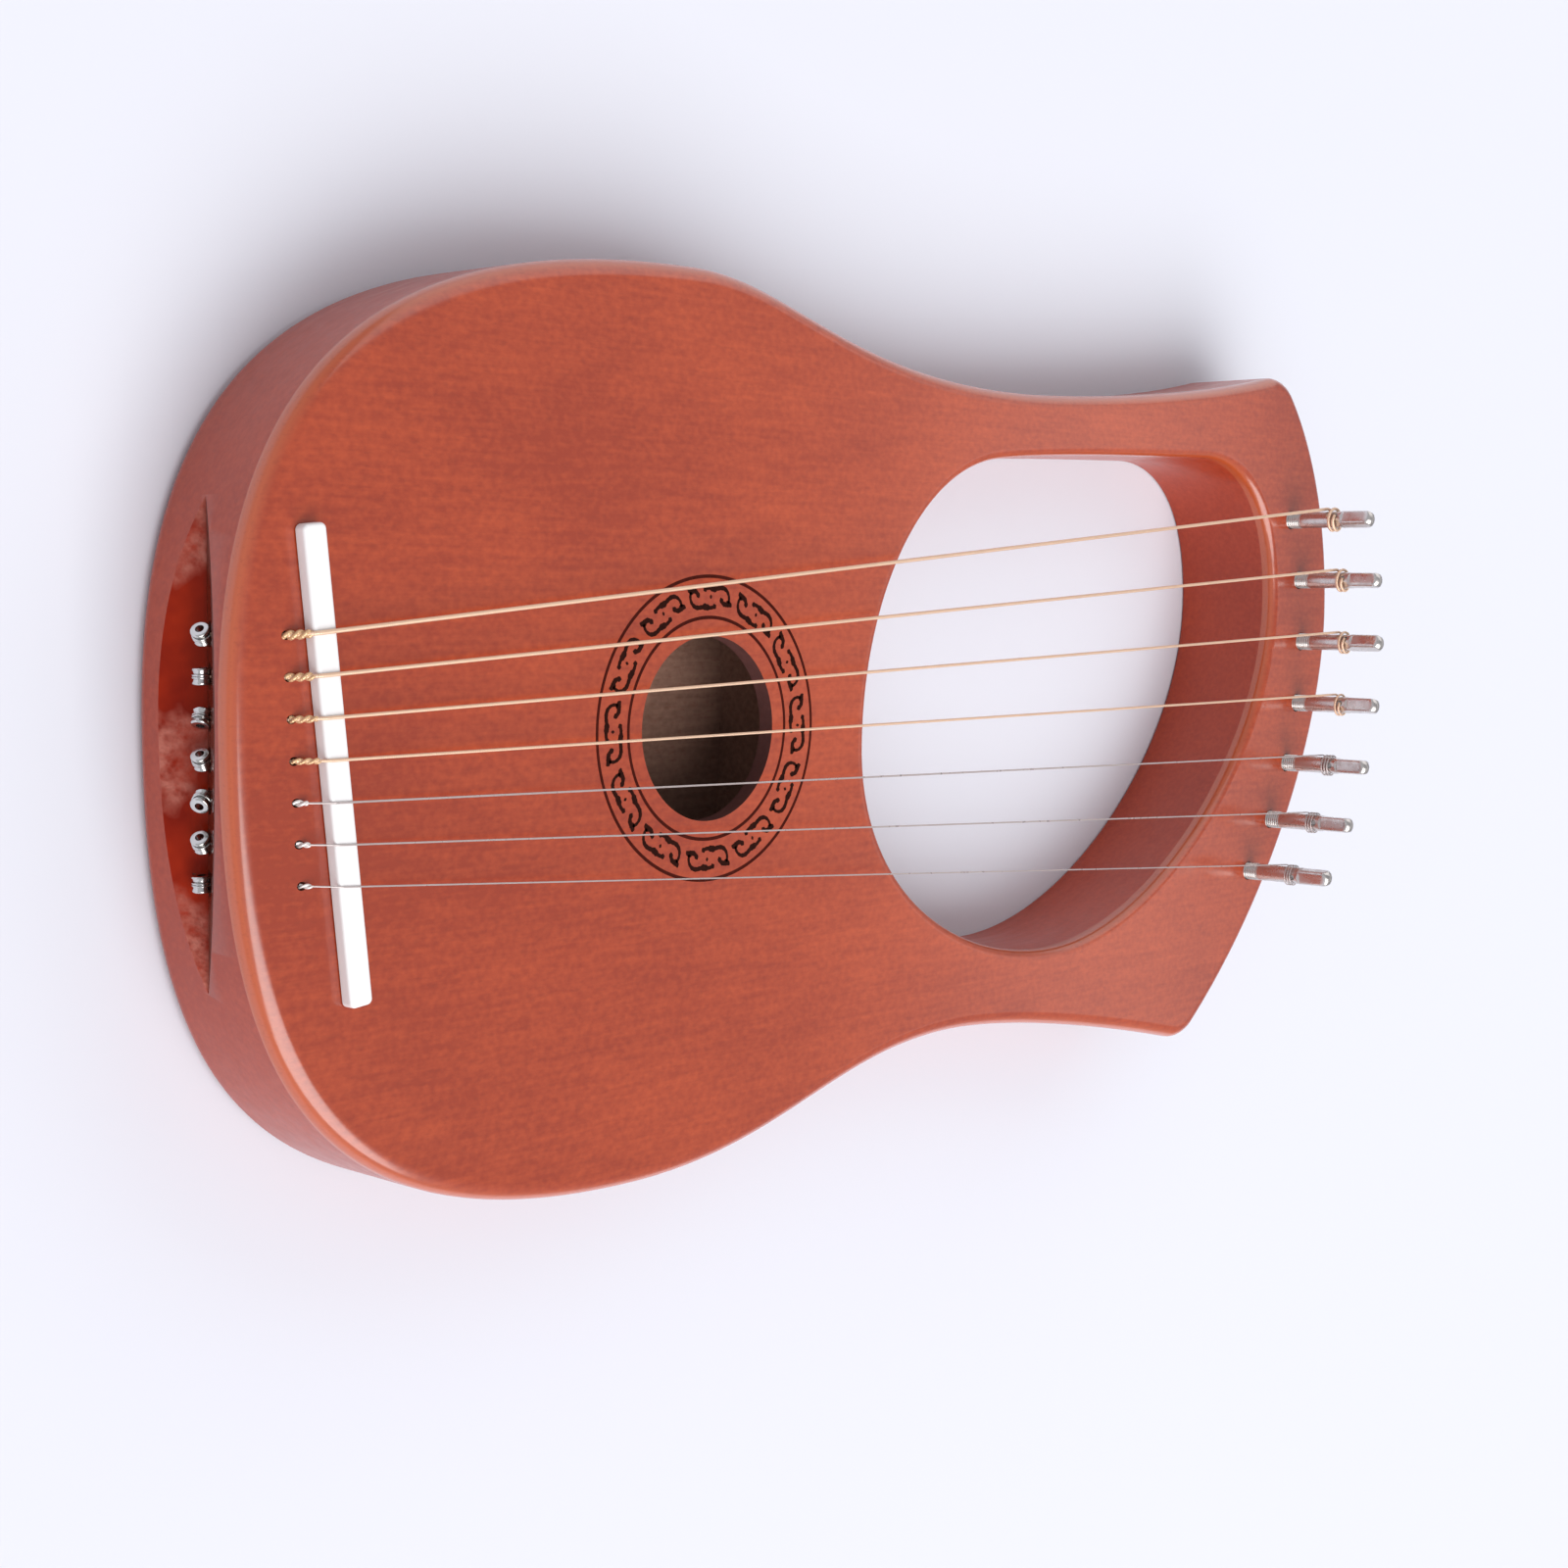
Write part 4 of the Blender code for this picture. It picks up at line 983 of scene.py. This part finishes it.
def finely(route, step):
    """The same route with more points on its long runs, one at each step that isn't near a corner.
    Gives their distances along it too."""
    run = distances(route)
    extra = np.arange(0, run[-1], step)
    extra = extra[np.abs(extra[:, None] - run[None]).min(1) > step / 4]
    stops = np.sort(np.concatenate([run, extra]))
    return np.stack([np.interp(stops, run, route[:, k]) for k in range(3)], 1), stops


def wire_tube(route, radius, level):
    """A circle carried along a route and closed by a point at both ends. At each point the circle
    starts square to the route and to the level direction, which the route never follows."""
    way = np.gradient(route, axis=0)
    across = unit(np.cross(way, level))
    other = np.cross(unit(way), across)
    turn = full_turn(WIRE_SIDES)
    ring = np.cos(turn)[None, :, None] * across[:, None] + np.sin(turn)[None, :, None] * other[:, None]
    body = route[:, None] + np.asarray(radius).reshape(-1, 1, 1) * ring
    first, last = (np.repeat(end[:, None], WIRE_SIDES, 1) for end in (route[:1], route[-1:]))
    return np.concatenate([first, body, last])


def wire_piece(name, routes, runs, radius, level, material):
    """Wires along their routes as one piece. Their distances along them go into its UV map."""
    tubes = [wire_tube(route, radius, level) for route in routes]
    along = [np.concatenate([run[:1], run, run[-1:]]) for run in runs]
    return new_piece(name, tubes, material, close_rows=False, along=along, sharp=60.0)


def string_metal(name, colour, roughness, winding):
    """A metal whose bright ridges follow the winding, one ridge each time the V of its map grows by
    the winding's pitch, leaning a little as a helix does."""
    material = metal(name, colour, roughness, 0.06, metallic=0.55, scratches=0.05)
    if winding:
        tree = material.node_tree
        shader = tree.nodes["Principled BSDF"]
        split = add_node(tree, "SeparateXYZ", {0: add_node(tree, "TexCoord").outputs["UV"]})
        turns = worked_out(tree, "MULTIPLY", split.outputs[1], 1 / winding)
        wave = worked_out(tree, "PINGPONG", worked_out(tree, "ADD", turns, split.outputs[0]), 1.0)
        show_relief(tree, shader, wave, winding / 3, 0.8)
    return material


BRONZE_WOUND = string_metal("bronze_winding", (0.86, 0.60, 0.43), 0.4, WINDING_PITCH)
PLAIN_STEEL = string_metal("plain_steel", (0.54, 0.47, 0.46), 0.32, 0.0)
BRONZE_TWIST = string_metal("bronze_twist", (0.74, 0.48, 0.27), 0.36, WINDING_PITCH)
# The plain twist is the string's own steel, coloured paler than the string as a painted highlight.
STEEL_TWIST_PAINTED_HIGHLIGHT = string_metal("steel_twist_painted_highlight", (0.84, 0.79, 0.77), 0.32, 0.0)
for index in range(STRINGS):
    bearing, meet, radius, _, low, _ = string_route(index)
    diameter = STRING_DIAMETERS[index]
    heading = np.array([math.cos(bearing), math.sin(bearing)])
    hole = HOLE_PLACES[index]
    mouth = np.array([*hole, BODY_THICKNESS])
    start = BALL_CENTRES[index] - HOLE_WAY * BALL_OVERLAP
    bend = mouth - HOLE_WAY * MOUTH_RISE
    saddle_y = SADDLE_CENTRE[1] + (hole[0] - SADDLE_CENTRE[0]) * math.tan(SADDLE_TILT)
    run = (saddle_y - hole[1]) / heading[1]
    height = saddle_top + diameter / 2 - SADDLE_BITE
    half = SADDLE_WIDTH / 2 - SADDLE_INSET
    front, back = (np.array([*(hole + heading * (run + side * half)), height]) for side in (-1, 1))
    angles = meet - np.linspace(0, 2 * math.pi * FIRST_WRAP, WRAP_POINTS)
    pin = PIN_PLACES[index]
    touch = np.array([*(pin + radius * np.array([math.cos(meet), math.sin(meet)])), low])
    route = rounded_route([start, bend, front, back, touch], CORNER_REACH)
    wrap = at_height(pin + radius * np.stack([np.cos(angles), np.sin(angles)], 1), low)
    route, stops = finely(np.vstack([route[:-1], wrap]), STRING_STEP)
    material = BRONZE_WOUND if index < WOUND_STRINGS else PLAIN_STEEL
    string = wire_piece(f"wire_{index + 1}", [route], [stops], diameter / 2, UPRIGHT, material)
    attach(string, "body")
    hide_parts(f"string_{index + 1}")

    lay, where = finely(rounded_route([start, bend, front, back], CORNER_REACH), TWIST_STEP)
    begin = np.linalg.norm(bend - start) - TWIST_LEAD
    inside = (where > begin) & (where < begin + TWIST_LENGTHS[index] + TWIST_LEAD)
    lay, where = lay[inside], where[inside]
    way = unit(np.gradient(lay, axis=0))
    level = unit(np.cross(way, SIDEWAYS))
    wide = np.cross(way, level)
    turn = 2 * math.pi * where[:, None] / TWIST_PITCH
    swell = np.clip((where[-1] - where) / TWIST_TAPER, 0, 1)[:, None] ** 0.5
    thick = diameter if index < WOUND_STRINGS else PLAIN_TWIST * diameter
    apart = TWIST_LAY[0] + TWIST_LAY[1] * swell
    strands = [
        lay + (np.cos(turn + phase) * wide + np.sin(turn + phase) * level) * thick * apart
        for phase in (0.0, math.pi)
    ]
    runs = [distances(strand) for strand in strands]
    material = BRONZE_TWIST if index < WOUND_STRINGS else STEEL_TWIST_PAINTED_HIGHLIGHT
    radius = thick * (TWIST_THICKNESS[0] + TWIST_THICKNESS[1] * swell)
    twist = wire_piece(f"twist_{index + 1}", strands, runs, radius, SIDEWAYS, material)
    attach(twist, "body")

# Coils on the pins
# The string's last turns, drawn up round the pin when it was tuned. They turn with the pin, and the
# end of the wire goes into the eye.
EYE_BEND = 0.2
EYE_REACH = 1.6
COIL_STEP = 0.0012
for index, pin in enumerate(PIN_PLACES):
    _, meet, radius, pitch, low, eye = string_route(index)
    diameter = STRING_DIAMETERS[index]
    turns = COIL_TURNS[index]
    steps = round(turns * TURN_STEPS)
    first = meet - 2 * math.pi * FIRST_WRAP
    angles = first - np.linspace(0, (steps - 2) / TURN_STEPS, (steps - 2) * 2 + 1) * 2 * math.pi
    rise = pitch * turns * np.linspace(0, (steps - 2) / steps, len(angles))
    ring = np.column_stack([pin + radius * np.stack([np.cos(angles), np.sin(angles)], 1), low + pitch + rise])
    inward = np.array([math.cos(eye), math.sin(eye)])
    top = low + pitch + pitch * turns
    lead = ring[0] + (ring[0] - ring[1]) / np.linalg.norm(ring[0] - ring[1]) * diameter
    lead[2] = ring[0, 2]
    bend = np.array([*(pin + inward * (PIN_RADIUS + diameter * EYE_BEND)), top])
    end = np.array([*(pin + inward * (PIN_RADIUS - EYE_REACH * diameter)), top])
    route, stops = finely(np.vstack([lead, ring, bend, end]), COIL_STEP)
    material = BRONZE_WOUND if index < WOUND_STRINGS else PLAIN_STEEL
    coil = wire_piece(f"coil_{index + 1}", [route], [stops], diameter / 2, UPRIGHT, material)
    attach(coil, f"pin_{index + 1}")
    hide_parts(f"string_coil_{index + 1}")

# Floor, light and camera
# A plain pale lilac-white ground, a large soft light on the treble side, weak ones on the bass side and
# beyond the yoke, and a pale sky, brighter towards the camera, which looks down from behind the base.
ground = np.array([[[-4.0, -4.0, 0.0], [4.0, -4.0, 0.0]], [[-4.0, 4.0, 0.0], [4.0, 4.0, 0.0]]])
cloth, _, cloth_shader = new_material("ground")
cloth_shader.inputs["Base Color"].default_value = (0.705, 0.717, 0.79, 1)
cloth_shader.inputs["Roughness"].default_value = 0.9
floor = new_piece("floor", [ground], cloth, close_rows=False, close_columns=False)
if floor.data.polygons[0].normal.z < 0:
    floor.data.flip_normals()

world = bpy.data.worlds.new("pale_sky")
bpy.context.scene.world = world
world.use_nodes = True
sky = world.node_tree
direction = add_node(sky, "TexCoord").outputs["Generated"]
toward = add_node(sky, "VectorMath", {0: direction, 1: (0.3, -0.9, -0.3)}, operation="DOT_PRODUCT")
bright = remapped(sky, toward.outputs["Value"], -0.5, 0.45, 0.36, 0.62)
sky.links.new(bright, sky.nodes["Background"].inputs["Strength"])
sky.nodes["Background"].inputs["Color"].default_value = (0.94, 0.955, 1.0, 1)


def soft_light(name, place, width, height, power):
    """A rectangular area light at a place, turned to face the harp."""
    lamp = bpy.data.lights.new(name, "AREA")
    lamp.shape = "RECTANGLE"
    lamp.size = width
    lamp.size_y = height
    lamp.energy = power
    lamp.color = (1.0, 0.985, 0.97)
    lamp_object = bpy.data.objects.new(name, lamp)
    bpy.context.scene.collection.objects.link(lamp_object)
    aim = Vector(place).to_track_quat("Z", "Y").to_matrix().to_4x4()
    lamp_object.matrix_world = Matrix.Translation(place) @ aim


soft_light("window", (3.8, -0.9, 5.04), 6.6, 6.6, 520.0)
soft_light("fill", (-1.9, 1.1, 1.1), 2.6, 2.6, 18.0)
soft_light("strip", (-0.05, 1.65, 1.15), 1.6, 0.3, 1.0)

camera = bpy.data.objects.new("camera", bpy.data.cameras.new("camera"))
bpy.context.scene.collection.objects.link(camera)
camera.matrix_world = Matrix(
    (
        (-0.008847, -0.998203, -0.059260, -0.0313),
        (0.678436, 0.037544, -0.733699, -0.4639),
        (0.734606, -0.046695, 0.676885, 0.4145),
        (0.0, 0.0, 0.0, 1.0),
    )
)
camera.data.lens = 54.0
camera.data.sensor_width = 36.0
camera.data.shift_x = 0.0016
camera.data.shift_y = -0.0359
camera.data.clip_start = 0.01
bpy.context.scene.camera = camera
bpy.context.scene.view_settings.view_transform = "Standard"
